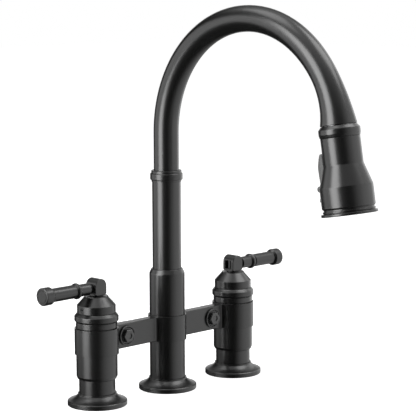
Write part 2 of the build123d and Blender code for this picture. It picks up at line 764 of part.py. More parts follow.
def ported_disc(x, z0, height, ports_along_x):
    """Ceramic disc with a pair of round ports."""
    reach = (PORT_OFF, 0) if ports_along_x else (0, PORT_OFF)
    with BuildPart() as disc:
        with BuildSketch(Plane.XY.offset(z0)):
            with Locations((x, 0)):
                Circle(DISC_R)
            with Locations((x + reach[0], reach[1]), (x - reach[0], -reach[1])):
                Circle(PORT_R, mode=Mode.SUBTRACT)
        extrude(amount=height)
    return disc


for side, sign in SIDES:
    valve_x = sign * VALVE_X
    finish(valve_body(valve_x), f"{side}_valve_body")
    finish(bonnet_ring(valve_x), f"{side}_bonnet_ring")
    finish(bead_ring(valve_x), f"{side}_bead_ring")
    finish(cartridge(valve_x), f"{side}_cartridge")
    finish(ported_disc(valve_x, CARTRIDGE_Z0, SEAT_DISC_H, False), f"{side}_seat_disc")

# Rubber rings round the cartridges.
with BuildPart() as cartridge_rings:
    for side, sign in SIDES:
        with BuildSketch(Plane.XZ) as wire:
            with Locations((sign * VALVE_X + CARTRIDGE_RING_AT, CARTRIDGE_RING_Z)):
                Circle(CARTRIDGE_RING_R)
        revolve(wire.sketch, axis=Axis((sign * VALVE_X, 0, 0), (0, 0, 1)))
finish(cartridge_rings, "cartridge_rings")


# ------------------------------------------------------------------ handles
def turning_disc(x):
    """Moving ceramic disc: ports a quarter turn from the seat's, and a slot for the driver."""
    disc = ported_disc(x, TURNING_DISC_Z0, DISC_H, True)
    with BuildPart() as slotted:
        add(disc.part)
        with BuildSketch(Plane.XY.offset(DRIVER_Z0 - TONGUE_H)):
            with Locations((x, 0)):
                Rectangle(DRIVER_W / 2 + 2 * SLIP, 2 * DISC_R)
        extrude(amount=TONGUE_H, mode=Mode.SUBTRACT)
    return slotted


def stem(x):
    """Stem with a driver bar at its foot, whose tongue sits in the moving disc's slot."""
    with BuildPart() as shaft:
        with BuildSketch(Plane.XY.offset(DRIVER_Z0)):
            with Locations((x, 0)):
                Circle(DISC_R - END_GAP)
                Rectangle(DRIVER_W, 2 * DISC_R, mode=Mode.INTERSECT)
        extrude(amount=DRIVER_H)
        with BuildSketch(Plane.XY.offset(DRIVER_Z0 - TONGUE_H + RUN)):
            with Locations((x, 0)):
                Circle(DISC_R - END_GAP)
                Rectangle(DRIVER_W / 2, 2 * DISC_R, mode=Mode.INTERSECT)
        extrude(amount=TONGUE_H)
        with BuildSketch(Plane.XY.offset(DRIVER_Z0 + DRIVER_H)):
            with Locations((x, 0)):
                Circle(STEM_R)
        extrude(amount=STEM_TOP_Z - DRIVER_Z0 - DRIVER_H)
    return shaft


def yoke_block(x):
    """Upright block with flat front and rear, a half-round top and a turned foot."""
    with BuildPart() as yoke:
        with BuildSketch(Plane.XZ.offset(-YOKE_Y / 2)):
            block(x - YOKE_X / 2, x + YOKE_X / 2, YOKE_Z0, YOKE_ROUND_Z)
            with Locations((x, YOKE_ROUND_Z)):
                Circle(YOKE_X / 2)
        extrude(amount=YOKE_Y)
        chamfer(yoke.faces().sort_by(Axis.Y)[0].edges(), BREAK)
        chamfer(yoke.faces().sort_by(Axis.Y)[-1].edges(), BREAK)
        valve_turned(
            x,
            (
                (0, YOKE_Z0),
                (YOKE_FOOT_R, YOKE_Z0),
                (YOKE_CORNER_R, YOKE_Z0 + YOKE_FOOT_H),
                (YOKE_CORNER_R, YOKE_TOP_Z),
                (0, YOKE_TOP_Z),
            ),
            Mode.INTERSECT,
        )
    return yoke


def hub(x, sign):
    """Cylinder, cone, undercut and yoke, slotted along X for the lever's tang."""
    yoke = yoke_block(x)
    with BuildPart() as body:
        valve_turned(
            x,
            (
                (0, HUB_Z0),
                (HUB_R, HUB_Z0),
                (HUB_R, HUB_CYLINDER_Z, BREAK),
                (HUB_CONE_TOP_R, HUB_CONE_Z),
                (HUB_CONE_TOP_R, HUB_LIP_Z, BREAK / 2),
                (UNDERCUT_R, HUB_LIP_Z),
                (UNDERCUT_R, SLOT_Z0),
                (0, SLOT_Z0),
            ),
        )
        add(yoke.part)
        with BuildSketch(Plane.YZ.offset(x)):
            with Locations((0, LEVER_Z)):
                Rectangle(SLOT_W, SLOT_H)
        extrude(amount=YOKE_X, both=True, mode=Mode.SUBTRACT)
        with BuildSketch(Plane.XY.offset(HUB_Z0)):
            with Locations((x, 0)):
                Circle(STEM_R + RUN)
        extrude(amount=HUB_SOCKET_H, mode=Mode.SUBTRACT)
        with BuildSketch(Plane.YZ.offset(x)):
            with Locations((0, SET_SCREW_Z)):
                Circle(SET_SCREW_R + RUN)
        extrude(amount=sign * 2 * HUB_R, mode=Mode.SUBTRACT)
    return body


def set_screw(x, sign):
    """Grub screw that clamps the hub to the stem."""
    foot = x + sign * (STEM_R + RUN)
    head = x + sign * (HUB_R - SET_SCREW_RECESS)
    with BuildPart() as screw:
        with BuildSketch(Plane.YZ.offset(foot)):
            with Locations((0, SET_SCREW_Z)):
                Circle(SET_SCREW_R)
        extrude(amount=head - foot)
        with BuildSketch(Plane.YZ.offset(head)):
            with Locations((0, SET_SCREW_Z)):
                RegularPolygon(HEX_SOCKET_R, HEX)
        extrude(amount=-sign * HEX_SOCKET_H, mode=Mode.SUBTRACT)
    return screw


def lever(x, sign):
    """Stepped tang in the yoke's slot, shank, neck, bead and grip, and a spigot for the cap."""
    tang_w = SLOT_W - 2 * RUN
    tang_h = SLOT_H - 2 * RUN
    tang_end = x - sign * (YOKE_X / 2 - TANG_RECESS)
    root_back = x - sign * TANG_ROOT_BACK
    root_front = x + sign * TANG_ROOT_L
    bead_end = LEVER_BEAD_START + LEVER_BEAD_W
    groove_r = GRIP_R - GRIP_GROOVE_D
    groove_end = bead_end - GRIP_GROOVE_D
    groove_start = groove_end - GRIP_GROOVE_W
    with BuildPart() as bar:
        lever_turned(
            x,
            sign,
            (
                (0, 0),
                (0, LEVER_SHANK_R),
                (LEVER_NECK_START, LEVER_SHANK_R),
                (LEVER_NECK_START, LEVER_NECK_R, BREAK),
                (LEVER_BEAD_START, LEVER_NECK_R, BREAK),
                (LEVER_BEAD_START + LEVER_BEAD_SLOPE, LEVER_BEAD_R, LEVER_BEAD_ROUND),
                (groove_start - LEVER_BEAD_SLOPE, LEVER_BEAD_R, LEVER_BEAD_ROUND),
                (groove_start, groove_r),
                (groove_end, groove_r),
                (bead_end, GRIP_R),
                (CAP_START, GRIP_R),
                (CAP_START, CAP_SPIGOT_R),
                (CAP_START + CAP_SPIGOT_L, CAP_SPIGOT_R),
                (CAP_START + CAP_SPIGOT_L, 0),
            ),
        )
        with BuildSketch(Plane.XY.offset(LEVER_Z - tang_h / 2)):
            block(tang_end, x, -TANG_END_W / 2, TANG_END_W / 2)
            block(root_back, root_front, -tang_w / 2, tang_w / 2)
        extrude(amount=tang_h)
    return bar


def end_cap(x, sign):
    """Turned cap on the lever's end, with a sloped shoulder and a ring groove in its face."""
    cap_end = CAP_START + CAP_L
    bore_end = CAP_START + CAP_SPIGOT_L + RUN
    groove_out = CAP_R - CAP_GROOVE_IN
    groove_in = groove_out - CAP_GROOVE_W
    with BuildPart() as cap:
        lever_turned(
            x,
            sign,
            (
                (CAP_START, CAP_SPIGOT_R + RUN),
                (CAP_START, GRIP_R),
                (CAP_START + CAP_SLOPE_L, CAP_R, 2 * BREAK),
                (cap_end, CAP_R, 2 * BREAK),
                (cap_end, groove_out),
                (cap_end - CAP_GROOVE_D, groove_out),
                (cap_end - CAP_GROOVE_D, groove_in),
                (cap_end, groove_in),
                (cap_end, 0),
                (bore_end, 0),
                (bore_end, CAP_SPIGOT_R + RUN),
            ),
        )
    return cap


for side, sign in SIDES:
    valve_x = sign * VALVE_X
    finish(turning_disc(valve_x), f"{side}_turning_disc")
    finish(stem(valve_x), f"{side}_stem")
    finish(hub(valve_x, sign), f"{side}_hub")
    finish(set_screw(valve_x, sign), f"{side}_set_screw")
    finish(lever(valve_x, sign), f"{side}_lever")
    finish(end_cap(valve_x, sign), f"{side}_end_cap")

# ------------------------------------------------------------------ riser
# Swivel stem with seal and retainer grooves below, socket for the gooseneck on top.
with BuildPart() as riser_tube:
    turned(
        (
            (RISER_BORE_R, STEM_TUBE_Z0),
            (STEM_TUBE_R, STEM_TUBE_Z0),
            (STEM_TUBE_R, SWIVEL_SHOULDER_Z),
            (RISER_R, SWIVEL_SHOULDER_Z),
            (RISER_R, RISER_TOP_Z),
            (NECK_TUBE_R + RUN, RISER_TOP_Z),
            (NECK_TUBE_R + RUN, NECK_TUBE_Z0),
            (RISER_BORE_R, NECK_TUBE_Z0),
        )
    )
    o_ring_groove = O_RING_R + RUN
    for o_ring_z in O_RING_PLACES:
        ring(
            O_RING_AT - o_ring_groove,
            SEAL_BORE_R,
            o_ring_z - o_ring_groove,
            o_ring_z + o_ring_groove,
            Mode.SUBTRACT,
        )
    ring(RETAINER_IN_R - RUN, SEAL_BORE_R, RETAINER_Z0 - RUN, RETAINER_Z1 + RUN, Mode.SUBTRACT)
finish(riser_tube, "riser_tube")

with BuildPart() as retaining_ring:
    ring(RETAINER_IN_R, RETAINER_OUT_R, RETAINER_Z0, RETAINER_Z1)
finish(retaining_ring, "retaining_ring")

with BuildPart() as spout_o_rings:
    for o_ring_z in O_RING_PLACES:
        with BuildSketch(Plane.XZ) as wire:
            with Locations((O_RING_AT, o_ring_z)):
                Circle(O_RING_R)
        revolve(wire.sketch, axis=Axis.Z)
finish(spout_o_rings, "spout_o_rings")

# Ring over the joint of riser and gooseneck: foot, bead and cap.
RING_BEAD_Z0 = RING_Z0 + RING_FOOT_H
RING_BEAD_Z1 = RING_BEAD_Z0 + RING_BEAD_H
RING_Z1 = RING_BEAD_Z1 + RING_CAP_H
with BuildPart() as riser_ring:
    turned(
        (
            (RISER_R + SLIP, RING_Z0),
            (RISER_R + RING_FOOT_W, RING_Z0),
            (RISER_R + RING_FOOT_W, RING_BEAD_Z0),
            (RING_R, RING_BEAD_Z0, RING_ROUND),
            (RING_R, RING_BEAD_Z1, RING_ROUND),
            (RISER_R + RING_CAP_W, RING_BEAD_Z1),
            (RISER_R + RING_CAP_W, RING_Z1, RING_CAP_W),
            (NECK_TUBE_R + RUN, RING_Z1),
            (NECK_TUBE_R + RUN, RISER_TOP_Z),
            (RISER_R + SLIP, RISER_TOP_Z),
        )
    )
finish(riser_ring, "riser_ring")


# ------------------------------------------------------------------ gooseneck
def neck_path(start_z, angle, ease=0.0, run_out=0.0):
    """Centre line up the riser and over the arch, with the outlet side drawn in by an ease."""
    tip_r = ARCH_TIP_R - ease / tan((END_TURN - radians(QUARTER)) / 2)
    with BuildLine(Plane.YZ) as path:
        Line((0, start_z), (0, ARCH_START_Z))
        CenterArc((-ARCH_R, ARCH_START_Z), ARCH_R, 0, QUARTER)
        if ease:
            Line((-ARCH_R, ARCH_TOP_Z), (-ARCH_R - ease, ARCH_TOP_Z))
        tip = CenterArc((-ARCH_R - ease, ARCH_TOP_Z - tip_r), tip_r, QUARTER, angle - QUARTER)
        if run_out:
            Line(tip @ 1, tip @ 1 + (tip % 1) * run_out)
    return path.wires()[0]


def flare_plane(back):
    """Plane square to the centre line of the outlet side, a distance back from the outlet."""
    if back <= TIP_STRAIGHT:
        return wand_square(-back)
    turn = END_TURN - (back - TIP_STRAIGHT) / ARCH_TIP_R
    along = Vector(0, -sin(turn), cos(turn))
    origin = ARCH_TIP_CENTRE + Vector(0, cos(turn), sin(turn)) * ARCH_TIP_R
    return Plane(origin=origin, x_dir=(1, 0, 0), z_dir=along)


def flare_radius(back):
    """Outside radius of the flared end, widening towards the outlet."""
    share = (1 - back / FLARE_L) ** FLARE_POWER
    return NECK_TUBE_R + (OUTLET_R - NECK_TUBE_R) * share


FLARE_START_ANGLE = ARCH_END_ANGLE - degrees((FLARE_L - TIP_STRAIGHT) / ARCH_TIP_R)


def neck_solid(inset, mode=Mode.ADD):
    """Bent tube and flared end, filled, drawn in by the inset."""
    with BuildSketch(Plane.XY.offset(NECK_TUBE_Z0)) as start:
        Circle(NECK_TUBE_R - inset)
    sweep(start.sketch, path=neck_path(NECK_TUBE_Z0, FLARE_START_ANGLE), mode=mode)
    sections = []
    for step in range(FLARE_STEPS + 1):
        back = FLARE_L * (1 - step / FLARE_STEPS)
        with BuildSketch(flare_plane(back)) as station:
            Circle(flare_radius(back) - inset)
        sections.append(station.sketch)
    loft(sections, mode=mode)


with BuildPart() as gooseneck:
    neck_solid(0)
    neck_solid(NECK_TUBE_WALL, Mode.SUBTRACT)
    with BuildSketch(wand_square(-DOCK_BORE_H)):
        Circle(DOCK_BORE_R)
    extrude(amount=2 * DOCK_BORE_H, mode=Mode.SUBTRACT)
    wand_turned(
        (
            (OUTLET_R - OUTLET_EDGE, RUN),
            (OUTLET_R + OUTLET_EDGE, RUN),
            (OUTLET_R + OUTLET_EDGE, -2 * OUTLET_EDGE),
        ),
        Mode.SUBTRACT,
    )
finish(gooseneck, "gooseneck")

# Docking sleeve inside the outlet, with a flange seated in the outlet's counterbore.
DOCK_FLANGE_R = DOCK_BORE_R - SLIP
with BuildPart() as dock_insert:
    wand_turned(
        (
            (DOCK_THROAT_R, -DOCK_SLEEVE_L),
            (DOCK_THROAT_R + DOCK_SLEEVE_WALL, -DOCK_SLEEVE_L),
            (DOCK_SLEEVE_R, -DOCK_BORE_H - DOCK_TAPER_H),
            (DOCK_SLEEVE_R, -DOCK_BORE_H + SLIP),
            (DOCK_FLANGE_R, -DOCK_BORE_H + SLIP),
            (DOCK_FLANGE_R, MAGNET_S0),
            (DOCK_THROAT_R, MAGNET_S0),
        )
    )
finish(dock_insert, "dock_insert")

with BuildPart() as dock_magnet:
    wand_ring(DOCK_THROAT_R, DOCK_FLANGE_R, MAGNET_S0, MAGNET_S1)
finish(dock_magnet, "dock_magnet")

# ------------------------------------------------------------------ hose
HOSE_Z0 = SHANK_DEPTH + HOSE_PAST_SHANK
HOSE_RUN_OUT = TIP_STRAIGHT + HOSE_EASE - NIPPLE_BACK
HOSE_PATH = neck_path(HOSE_Z0, ARCH_END_ANGLE, HOSE_EASE, HOSE_RUN_OUT)
with BuildPart() as hose:
    with BuildSketch(Plane.XY.offset(HOSE_Z0)) as hose_end:
        Circle(HOSE_R)
    sweep(hose_end.sketch, path=HOSE_PATH)
finish(hose, "hose")

with BuildPart() as hose_fitting:
    ring(HOSE_R + RUN, HOSE_FITTING_R, HOSE_Z0, HOSE_Z0 + HOSE_FITTING_H)
finish(hose_fitting, "hose_fitting")

# Swivel nut that joins the hose to the wand's nipple.
with BuildPart() as hose_nut:
    wand_turned(
        (
            (NIPPLE_R + SLIP, -NUT_BACK),
            (NUT_R - NUT_TAPER / 2, -NUT_BACK),
            (NUT_R, -NUT_BACK + NUT_TAPER),
            (NUT_R, NUT_FRONT),
            (NIPPLE_R + SLIP, NUT_FRONT),
        )
    )
finish(hose_nut, "hose_nut")

# ------------------------------------------------------------------ wand
# Steel ring that the dock's magnet holds.
with BuildPart() as keeper_ring:
    wand_ring(NUT_R + KEEPER_GAP, DOCK_BORE_R - KEEPER_GAP, KEEPER_S0, DOCK_SEAM)
finish(keeper_ring, "keeper_ring")

# Rounded rim at the wand's top.
with BuildPart() as wand_rim:
    wand_turned(
        (
            (NUT_R + KEEPER_GAP, DOCK_SEAM),
            (RIM_R - RIM_TOP_W, DOCK_SEAM, BREAK),
            (RIM_R, DOCK_SEAM + RIM_TOP_H, RIM_ROUND),
            (RIM_R, DOCK_SEAM + RIM_TOP_H + RIM_FLAT_H, RIM_ROUND),
            (SHELL_R + RIM_EDGE_W, RIM_S1 - RIM_EDGE_H, RIM_EDGE_H / 2),
            (SHELL_R - RIM_EDGE_W, RIM_S1),
            (NUT_R + KEEPER_GAP, RIM_S1),
        )
    )
finish(wand_rim, "wand_rim")


def shell_outline(inset):
    """Barrel, cone and skirt of the wand, drawn in by the inset."""
    return (
        (0, RIM_S1),
        (SHELL_R - inset, RIM_S1),
        (SHELL_R - inset, CONE_S0, CONE_ROUND),
        (SKIRT_R - inset, CONE_S1, CONE_ROUND),
        (SKIRT_R - inset, SKIRT_S1),
        (0, SKIRT_S1),
    )


with BuildPart() as wand_shell:
    wand_turned(shell_outline(0))
    skirt_edge = wand_shell.edges().filter_by(GeomType.CIRCLE).sort_by(OUTLET_AXIS)[-1]
    chamfer(skirt_edge, SKIRT_EDGE_H, SKIRT_EDGE_W)
    wand_turned(shell_outline(SHELL_WALL), Mode.SUBTRACT)
    with BuildSketch(TOGGLE_SECTION):
        block(
            TOGGLE_S0 - 2 * TOGGLE_GAP,
            TOGGLE_S1 + 2 * TOGGLE_GAP,
            CORE_R,
            SKIRT_R + TOGGLE_PAD_PROUD,
        )
    extrude(amount=TOGGLE_W / 2 + TOGGLE_GAP, both=True, mode=Mode.SUBTRACT)
    with BuildSketch(TOGGLE_SECTION):
        with Locations((PIVOT_S, PIVOT_OFF)):
            Circle(PIN_R + RUN)
    extrude(amount=TOGGLE_W / 2 + TOGGLE_GAP + PIN_IN_SHELL, both=True, mode=Mode.SUBTRACT)
finish(wand_shell, "wand_shell")

# Waterway: nipple on top, bore across for the diverter, skirt over the spray plate.
CORE_S0 = RIM_S1 + END_GAP
CORE_FLANGE_S0 = CORE_S0 + CORE_TAPER_H + END_GAP
CORE_SKIRT_S0 = FACE_S0 - CORE_SKIRT_H
SPOOL_ROOM = SPOOL_R + SPOOL_CHAMBER_H
with BuildPart() as wand_core:
    wand_turned(
        (
            (WATER_BORE_R, -NIPPLE_BACK),
            (NIPPLE_R, -NIPPLE_BACK),
            (NIPPLE_R, CORE_S0),
            (CORE_R, CORE_S0 + CORE_TAPER_H),
            (CORE_R, CORE_FLANGE_S0),
            (SHELL_BORE_R - SLIP, CORE_FLANGE_S0),
            (SHELL_BORE_R - SLIP, CORE_FLANGE_S0 + CORE_FLANGE_H),
            (CORE_R, CORE_FLANGE_S0 + CORE_FLANGE_H),
            (CORE_R, CORE_SKIRT_S0 - CORE_SKIRT_TAPER),
            (SKIRT_BORE_R - SLIP, CORE_SKIRT_S0),
            (SKIRT_BORE_R - SLIP, FACE_S0),
            (SKIRT_BORE_R - CORE_SKIRT_WALL, FACE_S0),
            (SKIRT_BORE_R - CORE_SKIRT_WALL, CORE_SKIRT_S0 + CORE_SKIRT_TAPER),
            (WATER_BORE_R, CORE_SKIRT_S0),
            (WATER_BORE_R, SPOOL_S + SPOOL_ROOM),
            (0, SPOOL_S + SPOOL_ROOM),
            (0, SPOOL_S - SPOOL_ROOM),
            (WATER_BORE_R, SPOOL_S - SPOOL_ROOM),
        )
    )
    with BuildSketch(wand_plane(SPOOL_S)):
        Circle(SPOOL_R + RUN)
    extrude(amount=2 * CORE_R, mode=Mode.SUBTRACT)
finish(wand_core, "wand_core")

# Check valve pressed into the nipple.
with BuildPart() as check_valve:
    with BuildSketch(wand_square(-CHECK_VALVE_BACK)):
        Circle(WATER_BORE_R - RUN)
        with PolarLocations(CHECK_PORT_OFF, CHECK_PORTS):
            Circle(CHECK_PORT_R, mode=Mode.SUBTRACT)
    extrude(amount=CHECK_VALVE_L)
finish(check_valve, "check_valve")

# Spray plate with its rubber nozzles, and the aerator in its middle.
FACE_PLANE = wand_square(FACE_S0)
with BuildPart() as spray_face:
    with BuildSketch(FACE_PLANE):
        Circle(FACE_R)
        Circle(AERATOR_R + SLIP, mode=Mode.SUBTRACT)
    extrude(amount=FACE_H)
    with BuildSketch(FACE_PLANE.offset(FACE_H)):
        for ring_r, count in NOZZLE_RINGS:
            with PolarLocations(ring_r, count):
                Circle(NOZZLE_R)
    extrude(amount=NOZZLE_H)
finish(spray_face, "spray_face")

with BuildPart() as aerator:
    with BuildSketch(FACE_PLANE):
        Circle(AERATOR_R)
        for cell_ring_r, count in AERATOR_CELL_RINGS:
            with PolarLocations(cell_ring_r, count):
                RegularPolygon(AERATOR_CELL_R, HEX, major_radius=False, mode=Mode.SUBTRACT)
    extrude(amount=FACE_H + AERATOR_PROUD)
finish(aerator, "aerator")

# Ring nut that closes the skirt: groove, band, groove and a wider lip.
RING_S0 = SKIRT_S1 + RUN
BAND_S0 = RING_S0 + OUTLET_NECK_H
BAND_S1 = BAND_S0 + OUTLET_BAND_H
LIP_S0 = BAND_S1 + OUTLET_GROOVE_H
LIP_S1 = LIP_S0 + OUTLET_LIP_H
with BuildPart() as outlet_ring:
    wand_turned(
        (
            (FACE_R + SLIP, RING_S0),
            (OUTLET_NECK_R, RING_S0),
            (OUTLET_NECK_R, BAND_S0),
            (OUTLET_BAND_R, BAND_S0, BREAK / 2),
            (OUTLET_BAND_R, BAND_S1, BREAK / 2),
            (OUTLET_BAND_R - OUTLET_GROOVE_W, BAND_S1),
            (OUTLET_BAND_R - OUTLET_GROOVE_W, LIP_S0 - OUTLET_GROOVE_H / 2),
            (OUTLET_LIP_R, LIP_S0, BREAK),
            (OUTLET_LIP_R, LIP_S1, BREAK),
            (FACE_R, LIP_S1),
            (FACE_R - OUTLET_MOUTH_H, LIP_S1 - OUTLET_MOUTH_H),
            (FACE_R - OUTLET_MOUTH_H, FACE_S1 + RUN),
            (FACE_R + SLIP, FACE_S1 + RUN),
        )
    )
finish(outlet_ring, "outlet_ring")

# ------------------------------------------------------------------ toggle and diverter
# Rocker: long paddle above the pivot, round ridge at the pivot, short pad below.
with BuildPart() as spray_toggle:
    with BuildSketch(TOGGLE_SECTION) as toggle_side:
        with BuildLine():
            ThreePointArc(
                (TOGGLE_S0, TOGGLE_UNDER + TOGGLE_TIP_T),
                (TOGGLE_S0 + TOGGLE_CURVE_L_MID, TOGGLE_FACE - TOGGLE_CURVE_DROP),
                (TOGGLE_S0 + TOGGLE_CURVE_L, TOGGLE_FACE),
            )
            Polyline(
                (TOGGLE_S0 + TOGGLE_CURVE_L, TOGGLE_FACE),
                (PIVOT_S - NUB_R, TOGGLE_FACE - TOGGLE_NECK_DROP),
                (PIVOT_S + NUB_R, TOGGLE_FACE),
                (TOGGLE_S1 - BREAK, TOGGLE_FACE + TOGGLE_PAD_PROUD),
                (TOGGLE_S1, TOGGLE_FACE + TOGGLE_PAD_PROUD - BREAK),
                (TOGGLE_S1, TOGGLE_FACE + TOGGLE_PAD_PROUD - TOGGLE_PAD_T),
                (PIVOT_S + PIVOT_EASE, PIVOT_OFF - PIVOT_WALL),
                (PIVOT_S - PIVOT_EASE, PIVOT_OFF - PIVOT_WALL),
                (PIVOT_S - 2 * PIVOT_EASE, TOGGLE_UNDER),
                (TOGGLE_S0, TOGGLE_UNDER),
                (TOGGLE_S0, TOGGLE_UNDER + TOGGLE_TIP_T),
            )
        make_face()
        with Locations((PIVOT_S, NUB_OFF)):
            Circle(NUB_R)
        with Locations((PIVOT_S, PIVOT_OFF)):
            Circle(PIN_R + RUN, mode=Mode.SUBTRACT)
    extrude(amount=TOGGLE_W / 2, both=True)
    for sign in (-1, 1):
        with BuildSketch(TOGGLE_SECTION.offset(sign * TOGGLE_W / 2)):
            with Locations((PIVOT_S, NUB_OFF)):
                Circle(NUB_DIMPLE_R)
        extrude(amount=-sign * NUB_DIMPLE_H, mode=Mode.SUBTRACT)
finish(spray_toggle, "spray_toggle")

with BuildPart() as toggle_pin:
    with BuildSketch(TOGGLE_SECTION):
        with Locations((PIVOT_S, PIVOT_OFF)):
            Circle(PIN_R)
    extrude(amount=TOGGLE_W / 2 + TOGGLE_GAP + PIN_IN_SHELL - RUN, both=True)
finish(toggle_pin, "toggle_pin")

with BuildPart() as diverter_spool:
    with BuildSketch(wand_plane(SPOOL_S, SPOOL_IN)):
        Circle(SPOOL_R)
    extrude(amount=TOGGLE_UNDER - END_GAP - SPOOL_IN)
finish(diverter_spool, "diverter_spool")

hose_length = HOSE_PATH.length
hose_rate = hose.part.volume / (pi * HOSE_R**2 * hose_length)
print(f"outlet {OUTLET}, direction {OUTLET_DIR}")
print(f"toggle pivot {OUTLET + OUTLET_DIR * PIVOT_S + OUTLET_BACK * PIVOT_OFF}")
print(f"hose length {hose_length:.1f}, volume over section times length {hose_rate:.4f}")
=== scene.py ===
"""Bridge kitchen faucet in matte black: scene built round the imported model, in metres."""
import math

import bmesh
import bpy
from mathutils import Matrix, Vector


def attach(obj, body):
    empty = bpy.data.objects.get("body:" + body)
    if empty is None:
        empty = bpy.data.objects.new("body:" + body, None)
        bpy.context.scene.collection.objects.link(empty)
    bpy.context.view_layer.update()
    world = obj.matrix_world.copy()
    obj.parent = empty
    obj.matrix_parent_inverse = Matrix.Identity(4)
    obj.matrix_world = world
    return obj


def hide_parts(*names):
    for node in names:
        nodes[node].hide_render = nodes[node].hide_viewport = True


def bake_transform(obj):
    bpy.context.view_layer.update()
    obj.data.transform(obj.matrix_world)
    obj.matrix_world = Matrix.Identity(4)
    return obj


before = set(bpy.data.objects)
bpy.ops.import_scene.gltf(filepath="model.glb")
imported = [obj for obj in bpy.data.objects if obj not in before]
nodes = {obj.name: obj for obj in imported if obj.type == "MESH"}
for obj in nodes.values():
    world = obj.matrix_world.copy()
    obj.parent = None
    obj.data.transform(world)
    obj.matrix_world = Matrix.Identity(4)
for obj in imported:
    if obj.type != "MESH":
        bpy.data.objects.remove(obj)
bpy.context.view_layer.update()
MM = 0.001

# ---------------------------------------------------------------- camera
# A long lens, turned 45 degrees from the bridge and pitched 8 degrees down, as the
# photograph was taken.  The picture is square.
CAMERA_PLACE = (-1.30513, -1.36788, 0.46119)
CAMERA_PITCH = math.radians(7.97)
CAMERA_TURN = math.radians(-45)
CAMERA_ROLL = -0.0027
LENS_MM = 154.2
FILM_MM = 36
NEAR_CLIP = 0.1
FAR_CLIP = 50

camera_data = bpy.data.cameras.new("photo_camera")
camera_data.lens = LENS_MM
camera_data.sensor_width = FILM_MM
camera_data.clip_start = NEAR_CLIP
camera_data.clip_end = FAR_CLIP
camera = bpy.data.objects.new("photo_camera", camera_data)
camera.matrix_world = (
    Matrix.Translation(CAMERA_PLACE)
    @ Matrix.Rotation(CAMERA_TURN, 4, "Z")
    @ Matrix.Rotation(math.pi / 2 - CAMERA_PITCH, 4, "X")
    @ Matrix.Rotation(CAMERA_ROLL, 4, "Z")
)
bpy.context.scene.collection.objects.link(camera)
bpy.context.scene.camera = camera
bpy.context.scene.view_settings.view_transform = "Standard"

# ---------------------------------------------------------------- studio lamps
# Soft boxes of the kind a product studio uses: a bright one at the left front, a dim wide one
# beside it, weak ones at the right and right rear, and two small ones overhead.
TARGET = (0, -0.1, 0.22)
CAMERA_BEARING = math.radians(-135)  # from the faucet, counted from the X axis


def softbox(name, bearing, distance, height, width, tall, radiance):
    """Area lamp turned to the faucet; its bearing is in degrees, clockwise from the camera."""
    angle = CAMERA_BEARING - math.radians(bearing)
    place = Vector((math.cos(angle) * distance, math.sin(angle) * distance, height))
    lamp = bpy.data.lights.new(name, "AREA")
    lamp.shape = "RECTANGLE"
    lamp.size = width
    lamp.size_y = tall
    lamp.energy = radiance * math.pi * width * tall
    box = bpy.data.objects.new(name, lamp)
    box.location = place
    box.rotation_euler = (Vector(TARGET) - place).to_track_quat("-Z", "Y").to_euler()
    bpy.context.scene.collection.objects.link(box)


softbox("left_softbox", 53, 1.7, 0.60, 1.2, 1.85, 6.0)
softbox("left_wide_softbox", 101, 1.7, 0.35, 1.4, 1.3, 1.1)
softbox("right_softbox", -85, 1.8, 0.35, 1.6, 1.5, 0.25)
softbox("right_rear_softbox", -138, 1.6, 0.45, 0.9, 1.5, 0.8)
softbox("top_softbox", 100, 0.5, 1.7, 0.9, 0.9, 2.0)
softbox("top_right_softbox", -93, 0.85, 1.4, 0.9, 0.9, 3.0)


# ---------------------------------------------------------------- studio floor
# White sweep under the faucet.  The lens sees it as white with the faucet's own soft shadow;
# the coat's reflections and the lamps' light pass it, as the soft boxes reach below it.
FLOOR_HALF = 6.0
FLOOR_DROP = 0.2 * MM
FLOOR_WHITE = (0.8, 0.8, 0.8, 1)
FLOOR_GLOW = 0.75  # keeps the sweep white under the lens


def new_material(name):
    """Material with an empty node tree but its output."""
    material = bpy.data.materials.new(name)
    material.use_nodes = True
    material.node_tree.nodes.clear()
    output = material.node_tree.nodes.new("ShaderNodeOutputMaterial")
    return material, material.node_tree, output


def wire(tree, node, **inputs):
    """Set or link a node's inputs by their names, with spaces written as underlines."""
    for label, value in inputs.items():
        socket = node.inputs[label.replace("_", " ")]
        if isinstance(value, bpy.types.NodeSocket):
            tree.links.new(value, socket)
        else:
            socket.default_value = value
    return node


def sum_of(tree, operation, *values):
    """Math node over numbers and sockets; gives its output."""
    node = tree.nodes.new("ShaderNodeMath")
    node.operation = operation
    for place, value in enumerate(values):
        if isinstance(value, bpy.types.NodeSocket):
            tree.links.new(value, node.inputs[place])
        else:
            node.inputs[place].default_value = value
    return node.outputs[0]


def along(tree, vector, axis):
    """Distance of a point along an axis."""
    node = tree.nodes.new("ShaderNodeVectorMath")
    node.operation = "DOT_PRODUCT"
    tree.links.new(vector, node.inputs[0])
    if isinstance(axis, bpy.types.NodeSocket):
        tree.links.new(axis, node.inputs[1])
    else:
        node.inputs[1].default_value = axis
    return node.outputs["Value"]


def blended(tree, factor, low, high):
    """Colour mixed between two colours."""
    node = tree.nodes.new("ShaderNodeMix")
    node.data_type = "RGBA"
    for label, value in (("Factor", factor), ("A", low), ("B", high)):
        sockets = [s for s in node.inputs if s.name == label and s.enabled]
        if isinstance(value, bpy.types.NodeSocket):
            tree.links.new(value, sockets[0])
        else:
            sockets[0].default_value = value
    return [s for s in node.outputs if s.enabled][0]


def ranged(tree, value, low, high, to_low, to_high, smooth=False):
    """Value carried from one range to another and held at its ends."""
    node = tree.nodes.new("ShaderNodeMapRange")
    if smooth:
        node.interpolation_type = "SMOOTHSTEP"
    wire(
        tree, node, Value=value, From_Min=low, From_Max=high, To_Min=to_low, To_Max=to_high
    )
    return node.outputs["Result"]


